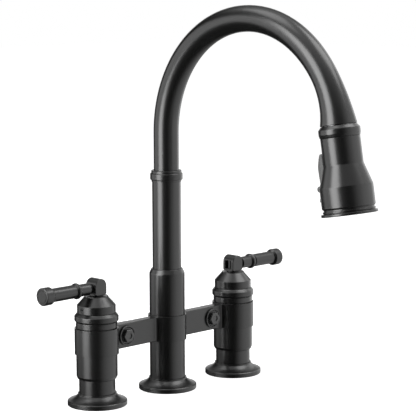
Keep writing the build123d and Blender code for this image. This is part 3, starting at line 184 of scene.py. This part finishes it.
floor_mesh = bpy.data.meshes.new("studio_floor")
floor_mesh.from_pydata(
    [(x * FLOOR_HALF, y * FLOOR_HALF, 0) for x, y in ((-1, -1), (1, -1), (1, 1), (-1, 1))],
    [],
    [(0, 1, 2, 3)],
)
floor = bpy.data.objects.new("studio_floor", floor_mesh)
floor.location.z = -FLOOR_DROP
bpy.context.scene.collection.objects.link(floor)

floor_paint, tree, output = new_material("studio_floor_paint")
paint = tree.nodes.new("ShaderNodeBsdfDiffuse")
paint.inputs["Color"].default_value = FLOOR_WHITE
clear = tree.nodes.new("ShaderNodeBsdfTransparent")
glow = tree.nodes.new("ShaderNodeEmission")
glow.inputs["Color"].default_value = (1, 1, 1, 1)
glow.inputs["Strength"].default_value = FLOOR_GLOW
seen = tree.nodes.new("ShaderNodeAddShader")
tree.links.new(paint.outputs[0], seen.inputs[0])
tree.links.new(glow.outputs[0], seen.inputs[1])
rays = tree.nodes.new("ShaderNodeLightPath")
passing = sum_of(tree, "MAXIMUM", rays.outputs["Is Glossy Ray"], rays.outputs["Is Shadow Ray"])
choice = tree.nodes.new("ShaderNodeMixShader")
tree.links.new(passing, choice.inputs["Fac"])
tree.links.new(seen.outputs[0], choice.inputs[1])
tree.links.new(clear.outputs[0], choice.inputs[2])
tree.links.new(choice.outputs[0], output.inputs["Surface"])
floor_mesh.materials.append(floor_paint)

# ---------------------------------------------------------------- studio backdrop
# White paper behind the faucet, a pale wall at the right, a pale ceiling, dark studio
# elsewhere, and a plain fill for what isn't mirrored.  Each begins and comes to its full light
# at a cosine of the angle from its own middle.
PAPER_WAY = (math.sqrt(0.5), math.sqrt(0.5), 0)
PAPER_FROM = 0.88
PAPER_FULL = 0.99
PAPER_LIGHT = 1.0
WALL_WAY = (0.819, -0.574, 0)
WALL_FROM = 0.0
WALL_FULL = 0.85
WALL_LIGHT = 0.85
CEILING_WAY = (0, 0, 1)
CEILING_FROM = 0.42
CEILING_FULL = 0.92
CEILING_LIGHT = 0.85
STUDIO_DARK = 0.004
FILL = 0.35

world = bpy.data.worlds.new("studio_world")
world.use_nodes = True
bpy.context.scene.world = world
tree = world.node_tree
tree.nodes.clear()
output = tree.nodes.new("ShaderNodeOutputWorld")
way = tree.nodes.new("ShaderNodeTexCoord").outputs["Generated"]
white = tree.nodes.new("ShaderNodeBackground")
wire(tree, white, Color=(1, 1, 1, 1), Strength=1.0)
reflected = tree.nodes.new("ShaderNodeBackground")
paper = ranged(
    tree, along(tree, way, PAPER_WAY), PAPER_FROM, PAPER_FULL, STUDIO_DARK, PAPER_LIGHT,
    smooth=True,
)
wall = ranged(
    tree, along(tree, way, WALL_WAY), WALL_FROM, WALL_FULL, STUDIO_DARK, WALL_LIGHT, smooth=True
)
ceiling = ranged(
    tree, along(tree, way, CEILING_WAY), CEILING_FROM, CEILING_FULL, STUDIO_DARK, CEILING_LIGHT,
    smooth=True,
)
strength = sum_of(tree, "MAXIMUM", sum_of(tree, "MAXIMUM", paper, wall), ceiling)
wire(tree, reflected, Color=(1, 1, 1, 1), Strength=strength)
fill = tree.nodes.new("ShaderNodeBackground")
wire(tree, fill, Color=(1, 1, 1, 1), Strength=FILL)
rays = tree.nodes.new("ShaderNodeLightPath")
mirrored = sum_of(
    tree, "MAXIMUM", rays.outputs["Is Glossy Ray"], rays.outputs["Is Transmission Ray"]
)
lit = tree.nodes.new("ShaderNodeMixShader")
tree.links.new(mirrored, lit.inputs["Fac"])
tree.links.new(fill.outputs[0], lit.inputs[1])
tree.links.new(reflected.outputs[0], lit.inputs[2])
shown = tree.nodes.new("ShaderNodeMixShader")
tree.links.new(rays.outputs["Is Camera Ray"], shown.inputs["Fac"])
tree.links.new(lit.outputs[0], shown.inputs[1])
tree.links.new(white.outputs[0], shown.inputs[2])
tree.links.new(shown.outputs[0], output.inputs["Surface"])

# ---------------------------------------------------------------- deck gaskets
# Flat rings of black rubber in the grooves under the three flanges.  They are moulded, with a
# fine bloom and speckle, and the shanks' nuts squeeze them against the deck.
RUBBER_DARK = (0.012, 0.012, 0.012, 1)
RUBBER_BLOOM = (0.034, 0.034, 0.033, 1)


def new_group(name, inputs, outputs):
    """Empty shader group; its inputs are (name, kind, value) and its outputs (name, kind)."""
    group = bpy.data.node_groups.new(name, "ShaderNodeTree")
    for label, kind, value in inputs:
        socket = group.interface.new_socket(label, in_out="INPUT", socket_type=kind)
        if value is not None:
            socket.default_value = value
    for label, kind in outputs:
        group.interface.new_socket(label, in_out="OUTPUT", socket_type=kind)
    return group, group.nodes.new("NodeGroupInput"), group.nodes.new("NodeGroupOutput")


def noise(tree, vector, scale, detail=2.0, rough=0.5):
    """Three-dimensional noise, in waves to the metre."""
    node = tree.nodes.new("ShaderNodeTexNoise")
    wire(tree, node, Vector=vector, Scale=scale, Detail=detail, Roughness=rough)
    return node.outputs["Fac"]


FLOAT, COLOUR, VECTOR = "NodeSocketFloat", "NodeSocketColor", "NodeSocketVector"

# Fine grain over a slow mottle: a colour, a roughness and a height.
surface_grain, given, result = new_group(
    "surface_grain",
    (
        ("Vector", VECTOR, None),
        ("Grains", FLOAT, 2500.0),
        ("Mottle", FLOAT, 70.0),
        ("Low Colour", COLOUR, None),
        ("High Colour", COLOUR, None),
        ("Low Roughness", FLOAT, 0.3),
        ("High Roughness", FLOAT, 0.4),
    ),
    (("Colour", COLOUR), ("Roughness", FLOAT), ("Height", FLOAT)),
)
tree = surface_grain
fine = noise(tree, given.outputs["Vector"], given.outputs["Grains"])
slow = noise(tree, given.outputs["Vector"], given.outputs["Mottle"], 4.0, 0.6)
share = sum_of(
    tree, "ADD", sum_of(tree, "MULTIPLY", fine, 0.45), sum_of(tree, "MULTIPLY", slow, 0.55)
)
spread = ranged(tree, share, 0.32, 0.68, 0.0, 1.0)
tree.links.new(
    blended(tree, spread, given.outputs["Low Colour"], given.outputs["High Colour"]),
    result.inputs["Colour"],
)
tree.links.new(
    ranged(
        tree, spread, 0.0, 1.0, given.outputs["Low Roughness"], given.outputs["High Roughness"]
    ),
    result.inputs["Roughness"],
)
tree.links.new(fine, result.inputs["Height"])

# Painted highlight along edges: a patchy mask along them, where a lighter colour is laid on, and a
# normal that rounds them off.
painted_edge_highlight, given, result = new_group(
    "painted_edge_highlight",
    (("Radius", FLOAT, 0.4 * MM), ("Gain", FLOAT, 5.0), ("Vector", VECTOR, None)),
    (("Mask", FLOAT), ("Normal", VECTOR)),
)
tree = painted_edge_highlight
rounded = tree.nodes.new("ShaderNodeBevel")
rounded.samples = 4
tree.links.new(given.outputs["Radius"], rounded.inputs["Radius"])
flat = tree.nodes.new("ShaderNodeNewGeometry")
bend = sum_of(tree, "SUBTRACT", 1.0, along(tree, flat.outputs["Normal"], rounded.outputs[0]))
patchy = ranged(tree, noise(tree, given.outputs["Vector"], 240.0, 4.0, 0.7), 0.3, 0.7, 0.25, 1)
highlight_strength = sum_of(tree, "MULTIPLY", sum_of(tree, "MULTIPLY", bend, given.outputs["Gain"]), patchy)
tree.links.new(ranged(tree, highlight_strength, 0.0, 1.0, 0.0, 1.0), result.inputs["Mask"])
tree.links.new(rounded.outputs[0], result.inputs["Normal"])

# Lines that a tool leaves square to an axis as the piece turns, as an uneven height.
tool_lines, given, result = new_group(
    "tool_lines",
    (("Vector", VECTOR, None), ("Axis", VECTOR, None), ("Lines", FLOAT, 3000.0)),
    (("Height", FLOAT),),
)
tree = tool_lines
line = tree.nodes.new("ShaderNodeTexNoise")
line.noise_dimensions = "1D"
place = along(tree, given.outputs["Vector"], given.outputs["Axis"])
wire(tree, line, W=place, Scale=given.outputs["Lines"], Detail=3.0, Roughness=0.6)
tree.links.new(line.outputs["Fac"], result.inputs["Height"])


def use_group(tree, group, **inputs):
    """Place a shader group and set or link its inputs."""
    node = tree.nodes.new("ShaderNodeGroup")
    node.node_tree = group
    return wire(tree, node, **inputs)


def grained(
    name, low, high, rough, grains=2500.0, mottle=70.0, grain_um=4.0,
    axis=None, lines=3000.0, line_um=2.0, edge=None, edge_mm=0.4, edge_rough=-0.05,
    **shader_values,
):
    """Material with grain, mottle, tool lines and a painted highlight along its edges; heights in
    micrometres.
    """
    material, tree, output = new_material(name)
    place = tree.nodes.new("ShaderNodeTexCoord").outputs["Object"]
    grain = use_group(
        tree, surface_grain, Vector=place, Grains=grains, Mottle=mottle,
        Low_Colour=low, High_Colour=high, Low_Roughness=rough[0], High_Roughness=rough[1],
    )
    edge_highlight = use_group(tree, painted_edge_highlight, Radius=edge_mm * MM, Vector=place)
    highlight_mask = edge_highlight.outputs["Mask"]
    # The edge colour is laid along the mask as a painted highlight on every edge.
    colour = blended(tree, highlight_mask, grain.outputs["Colour"], edge or high)
    roughness = sum_of(
        tree, "ADD", grain.outputs["Roughness"], sum_of(tree, "MULTIPLY", highlight_mask, edge_rough)
    )
    height = sum_of(tree, "MULTIPLY", grain.outputs["Height"], grain_um)
    if axis:
        marks = use_group(tree, tool_lines, Vector=place, Axis=axis, Lines=lines)
        height = sum_of(
            tree, "ADD", height, sum_of(tree, "MULTIPLY", marks.outputs["Height"], line_um)
        )
    bump = tree.nodes.new("ShaderNodeBump")
    wire(tree, bump, Strength=1.0, Distance=1e-6, Height=height, Normal=edge_highlight.outputs["Normal"])
    shader = tree.nodes.new("ShaderNodeBsdfPrincipled")
    wire(
        tree, shader, Base_Color=colour, Roughness=roughness, Normal=bump.outputs[0],
        **shader_values,
    )
    tree.links.new(shader.outputs[0], output.inputs["Surface"])
    return material


def dress(material, *names):
    """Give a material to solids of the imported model."""
    for name in names:
        mesh = nodes[name].data
        mesh.materials.clear()
        mesh.materials.append(material)


moulded_rubber = grained(
    "moulded_rubber", RUBBER_DARK, RUBBER_BLOOM, (0.62, 0.82), grains=1400.0, grain_um=18.0,
    edge=(0.05, 0.05, 0.049, 1), edge_rough=0.08,
)
dress(moulded_rubber, "deck_gaskets")

# ---------------------------------------------------------------- base flanges
# Three low bells that cover the holes in the deck.  They are cast in brass and powder coated
# black: a fine even grain, and a lighter colour along the edges as a painted highlight.
COAT_DARK = (0.0018, 0.0019, 0.0018, 1)
COAT_LIGHT = (0.0024, 0.0025, 0.0024, 1)
# Edge colour of the coat: a painted highlight.
COAT_EDGE_HIGHLIGHT = (0.022, 0.0222, 0.021, 1)
COAT_ROUGH = (0.285, 0.315)
COAT_GLOSS = 0.8


def coated(name, axis=None, **values):
    """Black coat over metal that was cast, turned about an axis, or drawn."""
    settings = {"edge": COAT_EDGE_HIGHLIGHT, "Specular_IOR_Level": COAT_GLOSS}
    settings.update(values)
    rough = settings.pop("rough", COAT_ROUGH)
    return grained(name, COAT_DARK, COAT_LIGHT, rough, axis=axis, **settings)


coated_casting = coated(
    "coated_casting", grains=1900.0, mottle=45.0, grain_um=2.5, edge_mm=0.5, rough=(0.29, 0.32)
)
dress(coated_casting, "column_flange", "left_flange", "right_flange")

# ---------------------------------------------------------------- column
# Two halves of thick brass tube turned about the upright axis, screwed together inside the
# bridge's band.  The coat lets the faint rings of the lathe tool show.
UP = (0, 0, 1)
coated_turning = coated("coated_turning", UP, grain_um=1.5, line_um=1.2, lines=2600.0)
dress(coated_turning, "column_lower", "column_upper")

# ---------------------------------------------------------------- swivel
# Acetal bushes that carry the spout in the column, black rubber rings that seal it, and a
# split ring of spring steel that keeps it from lifting out.
ACETAL_DEEP = (0.60, 0.59, 0.54, 1)
ACETAL_PALE = (0.78, 0.77, 0.72, 1)
STEEL_DEEP = (0.36, 0.36, 0.37, 1)
STEEL_PALE = (0.66, 0.66, 0.66, 1)

turned_acetal = grained(
    "turned_acetal", ACETAL_DEEP, ACETAL_PALE, (0.34, 0.46), axis=UP, lines=3500.0,
    line_um=5.0, grain_um=2.0, edge=(0.85, 0.84, 0.80, 1), Subsurface_Weight=0.15,
)
spring_steel = grained(
    "spring_steel", STEEL_DEEP, STEEL_PALE, (0.22, 0.38), axis=UP, lines=6000.0, line_um=4.0,
    edge=(0.8, 0.8, 0.8, 1), Metallic=1.0,
)
dress(turned_acetal, "upper_bush", "lower_bush")
dress(moulded_rubber, "spout_o_rings", "cartridge_rings")
dress(spring_steel, "retaining_ring")

# ---------------------------------------------------------------- bridge
# One casting of flat bar and column band, and a band round each valve.  Milled flat and
# coated; the bar's long edges are broken with a file, and their thin bright line is a painted
# highlight.
milled_coat = coated(
    "milled_coat", (1, 0, 0), grains=2100.0, mottle=38.0, grain_um=2.0, lines=900.0,
    line_um=1.2, edge_mm=0.45, rough=(0.29, 0.32),
)
dress(milled_coat, "bridge_bar")
dress(coated_turning, "left_collar", "right_collar")

# ---------------------------------------------------------------- washers and bolts
# Dished washers and hexagon bolts that clamp the bands' lugs behind the bar.  Both are steel
# with a black oxide, a little glossier than the coat, with a painted highlight at their corners.
OXIDE_DARK = (0.0060, 0.0062, 0.0064, 1)
OXIDE_LIGHT = (0.0125, 0.0128, 0.0130, 1)
black_oxide = grained(
    "black_oxide", OXIDE_DARK, OXIDE_LIGHT, (0.22, 0.30), axis=(0, 1, 0), lines=4000.0,
    line_um=2.0, grain_um=2.0, edge=(0.045, 0.045, 0.045, 1), edge_mm=0.3,
    Specular_IOR_Level=0.85,
)
dress(black_oxide, "bridge_washers", "bridge_bolts")

# ---------------------------------------------------------------- valves
# Neck and sleeve turned in one piece, with a ring nut and a rounded trim ring on top, all
# coated black after turning.
dress(
    coated_turning,
    "left_valve_body", "right_valve_body", "left_bonnet_ring", "right_bonnet_ring",
    "left_bead_ring", "right_bead_ring",
)

# ---------------------------------------------------------------- cartridges
# Ceramic-disc cartridges: a brass housing and stem, and two lapped ceramic discs whose ports
# line up as the handle turns.
BRASS_DEEP = (0.42, 0.27, 0.09, 1)
BRASS_PALE = (0.76, 0.56, 0.25, 1)
turned_brass = grained(
    "turned_brass", BRASS_DEEP, BRASS_PALE, (0.20, 0.36), axis=UP, lines=3200.0, line_um=6.0,
    mottle=110.0, edge=(0.90, 0.70, 0.36, 1), Metallic=1.0,
)
lapped_ceramic = grained(
    "lapped_ceramic", (0.74, 0.72, 0.66, 1), (0.88, 0.87, 0.83, 1), (0.08, 0.16),
    grains=5200.0, grain_um=1.0, edge=(0.93, 0.92, 0.90, 1), Coat_Weight=0.3,
)
for side in ("left", "right"):
    dress(turned_brass, f"{side}_cartridge", f"{side}_stem")
    dress(lapped_ceramic, f"{side}_seat_disc", f"{side}_turning_disc")

# ---------------------------------------------------------------- handle hubs
# Cylinder, cone and slotted yoke turned and milled from one bar, coated, with a small black
# grub screw at the side that clamps the hub to its stem.
hub_coat = coated("hub_coat", UP, grain_um=1.5, line_um=1.0, lines=2900.0, edge_mm=0.35)
for side in ("left", "right"):
    dress(hub_coat, f"{side}_hub")
    dress(black_oxide, f"{side}_set_screw")

# ---------------------------------------------------------------- levers
# Each lever is one turning with a milled tang pressed into the yoke, and a separate turned
# cap pushed on a spigot at its end.
lever_coat = coated(
    "lever_coat", (1, 0, 0), grain_um=1.5, line_um=1.2, lines=2800.0, edge_mm=0.35
)
dress(lever_coat, "left_lever", "right_lever", "left_end_cap", "right_end_cap")

# ---------------------------------------------------------------- riser and gooseneck
# Turned riser with its ring, and a drawn tube bent to a tall arch whose end is flared over a
# mandrel.  The drawn tube is the smoothest of the coated pieces.
drawn_coat = coated("drawn_coat", grains=2700.0, mottle=30.0, grain_um=1.3, rough=(0.28, 0.31))
dress(coated_turning, "riser_tube", "riser_ring")
dress(drawn_coat, "gooseneck")

# ---------------------------------------------------------------- dock
# Acetal guide in the spout's end with a ring magnet behind it, and the steel ring in the wand
# that the magnet holds.
OUTLET = Vector((0, -241.85209776, 301.33560875)) * MM
WAND_WAY = Vector((0, -0.17364818, -0.98480775))
WAND_BACK = Vector((0, 0.98480775, -0.17364818))
sintered_magnet = grained(
    "sintered_magnet", (0.20, 0.20, 0.21, 1), (0.34, 0.34, 0.35, 1), (0.30, 0.48),
    grains=3600.0, grain_um=9.0, edge=(0.5, 0.5, 0.5, 1), Metallic=1.0,
)
dress(turned_acetal, "dock_insert")
dress(sintered_magnet, "dock_magnet")
dress(spring_steel, "keeper_ring")

# ---------------------------------------------------------------- hose
# Rubber hose in a braid of black nylon, crimped in a brass end and joined to the wand by a
# brass nut.  The length that comes out of the dock with the wand is a piece of its own.
# Braid colours: darker in the weave's hollows as painted shade, lighter on the strands' tops.
BRAID_HOLLOW_SHADE = (0.010, 0.010, 0.011, 1)
BRAID_STRAND_TOP = (0.052, 0.052, 0.054, 1)
DRAWN_R = 5.65 * MM
DRAWN_FROM = -20.0 * MM  # along the wand's axis, from the outlet's face
DRAWN_TO = -9.0 * MM
DRAWN_RINGS = 96
DRAWN_SIDES = 32
BRAID_STRANDS = 12  # round the hose, each way
BRAID_TURNS = 9  # of each strand along the piece, once drawn out


def braided(name, pattern):
    """Nylon braid, with painted shade in the hollows of its weave; the pattern gives its two
    crossing waves in a tree.
    """
    material, tree, output = new_material(name)
    first, second = pattern(tree)
    place = tree.nodes.new("ShaderNodeTexCoord").outputs["Object"]
    fuzz = noise(tree, place, 3800.0, 3.0, 0.6)
    weave = sum_of(tree, "MAXIMUM", first, second)
    height = sum_of(tree, "ADD", weave, sum_of(tree, "MULTIPLY", fuzz, 0.25))
    bump = tree.nodes.new("ShaderNodeBump")
    wire(tree, bump, Strength=0.9, Distance=0.25 * MM, Height=height)
    # Colour follows the weave's height: painted shade in its hollows.
    shade = ranged(tree, height, 0.3, 1.2, 0.0, 1.0)
    shader = tree.nodes.new("ShaderNodeBsdfPrincipled")
    wire(
        tree, shader, Base_Color=blended(tree, shade, BRAID_HOLLOW_SHADE, BRAID_STRAND_TOP),
        Roughness=ranged(tree, height, 0.2, 1.2, 0.68, 0.40), Normal=bump.outputs[0],
    )
    tree.links.new(shader.outputs[0], output.inputs["Surface"])
    return material


def crossed_waves(tree, round_it, along_it, strands, turns):
    """Two sets of strands that wind opposite ways."""
    waves = []
    for hand in (1, -1):
        angle = sum_of(
            tree, "ADD",
            sum_of(tree, "MULTIPLY", round_it, math.tau * strands),
            sum_of(tree, "MULTIPLY", along_it, hand * math.tau * turns),
        )
        waves.append(sum_of(tree, "ABSOLUTE", sum_of(tree, "SINE", angle)))
    return waves


def drawn_pattern(tree):
    """Strands over the drawn piece's own unwrapped surface."""
    unwrapped = tree.nodes.new("ShaderNodeTexCoord").outputs["UV"]
    parts = tree.nodes.new("ShaderNodeSeparateXYZ")
    tree.links.new(unwrapped, parts.inputs[0])
    return crossed_waves(
        tree, parts.outputs["X"], parts.outputs["Y"], BRAID_STRANDS / 2,
        BRAID_TURNS * BRAID_STRANDS / 2,
    )


def inner_pattern(tree):
    """Strands across and along the hidden hose, in the frame's own directions."""
    place = tree.nodes.new("ShaderNodeTexCoord").outputs["Object"]
    return crossed_waves(
        tree, along(tree, place, (1, 0, 0)), along(tree, place, (0, 0.5, 0.87)), 160.0, 160.0
    )


def in_frame(x, s, offset):
    """Point beside the wand's axis: across, along and off it."""
    return OUTLET + Vector((x, 0, 0)) + WAND_WAY * s + WAND_BACK * offset


def new_piece(name, bm, material, smooth_angle=35):
    """Object from a finished mesh, smooth but for its sharper edges."""
    mesh = bpy.data.meshes.new(name)
    bmesh.ops.recalc_face_normals(bm, faces=bm.faces)
    for edge in bm.edges:
        edge.smooth = len(edge.link_faces) < 2 or (
            edge.calc_face_angle(0) < math.radians(smooth_angle)
        )
    for face in bm.faces:
        face.smooth = True
    bm.to_mesh(mesh)
    bm.free()
    mesh.materials.append(material)
    piece = bpy.data.objects.new(name, mesh)
    bpy.context.scene.collection.objects.link(piece)
    return piece


bm = bmesh.new()
unwrap = bm.loops.layers.uv.new("braid")
rings = []
for step in range(DRAWN_RINGS + 1):
    s = DRAWN_FROM + (DRAWN_TO - DRAWN_FROM) * step / DRAWN_RINGS
    ring = []
    for side in range(DRAWN_SIDES):
        turn = math.tau * side / DRAWN_SIDES
        ring.append(
            bm.verts.new(in_frame(DRAWN_R * math.cos(turn), s, DRAWN_R * math.sin(turn)))
        )
    rings.append(ring)
for step in range(DRAWN_RINGS):
    for side in range(DRAWN_SIDES):
        after = (side + 1) % DRAWN_SIDES
        face = bm.faces.new(
            (rings[step][side], rings[step][after], rings[step + 1][after], rings[step + 1][side])
        )
        corners = ((side, step), (side + 1, step), (side + 1, step + 1), (side, step + 1))
        for loop, (u, v) in zip(face.loops, corners):
            loop[unwrap].uv = (u / DRAWN_SIDES, v / DRAWN_RINGS)
bm.faces.new(rings[0][::-1])
bm.faces.new(rings[-1])
drawn_hose = new_piece("drawn_hose", bm, braided("nylon_braid", drawn_pattern))
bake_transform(drawn_hose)
dress(braided("inner_braid", inner_pattern), "hose")
dress(turned_brass, "hose_fitting", "hose_nut")

# ---------------------------------------------------------------- wand
# Turned rim and a thin drawn shell with a cone and a wide skirt, coated like the spout, round
# a brass waterway with a plastic check valve in its nipple.
WAND_AXIS = tuple(WAND_WAY)
wand_coat = coated("wand_coat", WAND_AXIS, grain_um=1.4, line_um=1.1, lines=2400.0)
dress(wand_coat, "wand_rim", "wand_shell", "outlet_ring")
core_brass = grained(
    "core_brass", BRASS_DEEP, BRASS_PALE, (0.24, 0.40), axis=WAND_AXIS, lines=2600.0,
    line_um=6.0, mottle=90.0, edge=(0.90, 0.70, 0.36, 1), Metallic=1.0,
)
dress(core_brass, "wand_core")
dress(turned_acetal, "check_valve")

# ---------------------------------------------------------------- spray plate
# Dark moulded plate with rings of soft nozzles that a thumb can rub clean, round a small
# aerator with a honeycomb mouth.
PLATE_BACK = 79.2 * MM
PLATE_FRONT = 82.6 * MM
PLATE_R = 23.4 * MM
PLATE_HOLE_R = 8.15 * MM
PLATE_BREAK = 0.35 * MM
PLATE_SIDES = 96
NOZZLE_ROWS = ((12.0, 14), (16.0, 20), (19.8, 26))  # radius in mm, count
NOZZLE_SHAPE = (  # radius and height in mm
    (1.45, -0.1), (1.3, 0.15), (1.08, 0.4), (0.98, 0.95), (0.86, 1.1), (0.6, 1.12), (0.45, 0.95),
    (0.42, 0.5),
)
NOZZLE_SIDES = 14
TROUGH_HALF = 2.0  # of the shallow ring that each row of nozzles stands in, in mm
TROUGH_FLOOR_HALF = 1.7
TROUGH_DEPTH = 0.22


def lathed(bm, centre, across, up, way, outline, sides, closed):
    """Turn (radius, height) points about an axis; a closed outline joins its ends."""
    rings = []
    for radius, height in outline:
        rings.append([
            bm.verts.new(
                centre + way * height
                + (across * math.cos(math.tau * i / sides) + up * math.sin(math.tau * i / sides))
                * radius
            )
            for i in range(sides)
        ])
    spans = list(zip(rings, rings[1:]))
    if closed:
        spans.append((rings[-1], rings[0]))
    for first, second in spans:
        for i in range(sides):
            j = (i + 1) % sides
            bm.faces.new((first[i], first[j], second[j], second[i]))
    if not closed:
        bm.faces.new(rings[0][::-1])
        bm.faces.new(rings[-1])


ACROSS = Vector((1, 0, 0))
moulded_plate = grained(
    "moulded_plate", (0.022, 0.022, 0.024, 1), (0.040, 0.040, 0.042, 1), (0.38, 0.52),
    grains=1700.0, grain_um=9.0, edge=(0.07, 0.07, 0.072, 1),
)
soft_nozzle = grained(
    "soft_nozzle", (0.050, 0.050, 0.052, 1), (0.085, 0.085, 0.088, 1), (0.52, 0.68),
    grains=2600.0, grain_um=7.0, edge=(0.11, 0.11, 0.112, 1), Subsurface_Weight=0.1,
)
bm = bmesh.new()
plate_outline = [
    (PLATE_HOLE_R, PLATE_BACK), (PLATE_R, PLATE_BACK), (PLATE_R, PLATE_FRONT - PLATE_BREAK),
    (PLATE_R - PLATE_BREAK, PLATE_FRONT),
]
for row_r, count in reversed(NOZZLE_ROWS):
    for dr, drop in (
        (TROUGH_HALF, 0), (TROUGH_FLOOR_HALF, TROUGH_DEPTH),
        (-TROUGH_FLOOR_HALF, TROUGH_DEPTH), (-TROUGH_HALF, 0),
    ):
        plate_outline.append(((row_r + dr) * MM, PLATE_FRONT - drop * MM))
plate_outline.append((PLATE_HOLE_R + PLATE_BREAK, PLATE_FRONT))
plate_outline.append((PLATE_HOLE_R, PLATE_FRONT - PLATE_BREAK))
lathed(bm, OUTLET, ACROSS, WAND_BACK, WAND_WAY, plate_outline, PLATE_SIDES, True)
spray_plate = new_piece("spray_plate", bm, moulded_plate)
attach(spray_plate, "wand")
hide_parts("spray_face")

bm = bmesh.new()
for row_r, count in NOZZLE_ROWS:
    for i in range(count):
        turn = math.tau * i / count
        foot = in_frame(
            row_r * MM * math.cos(turn), PLATE_FRONT - TROUGH_DEPTH * MM,
            row_r * MM * math.sin(turn),
        )
        outline = [(radius * MM, height * MM) for radius, height in NOZZLE_SHAPE]
        lathed(bm, foot, ACROSS, WAND_BACK, WAND_WAY, outline, NOZZLE_SIDES, False)
spray_nozzles = new_piece("spray_nozzles", bm, soft_nozzle, 60)
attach(spray_nozzles, "wand")
dress(moulded_plate, "aerator")

# ---------------------------------------------------------------- toggle
# Rocker moulded in black plastic: a long paddle that curves in at its top, a round ridge over
# its pin, and a short pad below.  Its face swells a little in the middle and its edges are
# rounded.
TOGGLE_HALF = 10.5 * MM
TOGGLE_CROWN = 0.5  # of the face, in the toggle's middle
TOGGLE_STATIONS = (-1.0, -0.985, -0.93, -0.8, -0.55, -0.2, 0.2, 0.55, 0.8, 0.93, 0.985, 1.0)
TOGGLE_INSET = (0.3, 0.12, 0, 0, 0, 0, 0, 0, 0, 0, 0.12, 0.3)
PADDLE_FACE = (  # along and off the wand's axis in mm
    (25.9, 20.1), (26.4, 20.55), (28.0, 21.35), (30.0, 22.15), (32.5, 22.9), (35.0, 23.6),
    (37.5, 24.15), (40.0, 24.45), (44.0, 24.42), (48.0, 24.25), (52.0, 24.05), (55.6, 23.85),
)
RIDGE_AT = (60.0, 25.75)
RIDGE_R = 3.1
RIDGE_STEPS = 12
RIDGE_FIRST = 190  # angles of the round ridge's two ends
RIDGE_LAST = 5
PAD_FACE = ((63.6, 24.85), (66.0, 25.6), (69.0, 26.5), (71.6, 27.3), (72.4, 27.25), (72.8, 26.6))
TOGGLE_BACK = ((72.8, 21.7), (72.2, 21.45), (64.2, 19.3), (56.2, 19.3), (52.0, 17.2), (26.2, 17.2),
               (25.9, 17.6))


def toggle_outline(inset, crown):
    """Side view of the toggle, drawn in by an inset and with its face raised."""
    face = list(PADDLE_FACE)
    for i in range(RIDGE_STEPS + 1):
        turn = math.radians(RIDGE_FIRST + (RIDGE_LAST - RIDGE_FIRST) * i / RIDGE_STEPS)
        face.append(
            (RIDGE_AT[0] + RIDGE_R * math.cos(turn), RIDGE_AT[1] + RIDGE_R * math.sin(turn))
        )
    face.extend(PAD_FACE)
    outline = [(s, off + crown) for s, off in face] + list(TOGGLE_BACK)
    moved = []
    for place, (s, off) in enumerate(outline):
        before = Vector(outline[place - 1])
        after = Vector(outline[(place + 1) % len(outline)])
        way = (after - before).normalized()
        inward = Vector((way.y, -way.x))
        moved.append((s + inward.x * inset, off + inward.y * inset))
    return moved


bm = bmesh.new()
loops = []
for station, inset in zip(TOGGLE_STATIONS, TOGGLE_INSET):
    outline = toggle_outline(inset, TOGGLE_CROWN * (1 - station**2))
    loops.append(
        [bm.verts.new(in_frame(station * TOGGLE_HALF, s * MM, off * MM)) for s, off in outline]
    )
for first, second in zip(loops, loops[1:]):
    for i in range(len(first)):
        j = (i + 1) % len(first)
        bm.faces.new((first[i], first[j], second[j], second[i]))
bm.faces.new(loops[0][::-1])
bm.faces.new(loops[-1])
moulded_toggle = grained(
    "moulded_toggle", (0.042, 0.0425, 0.042, 1), (0.056, 0.0565, 0.055, 1), (0.34, 0.41),
    grains=2000.0, grain_um=4.0, edge=(0.08, 0.08, 0.079, 1), edge_mm=0.3,
    Specular_IOR_Level=0.7,
)
rocker = new_piece("rocker_toggle", bm, moulded_toggle, 40)
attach(rocker, "toggle")
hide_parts("spray_toggle")
dress(spring_steel, "toggle_pin")
dress(turned_brass, "diverter_spool")
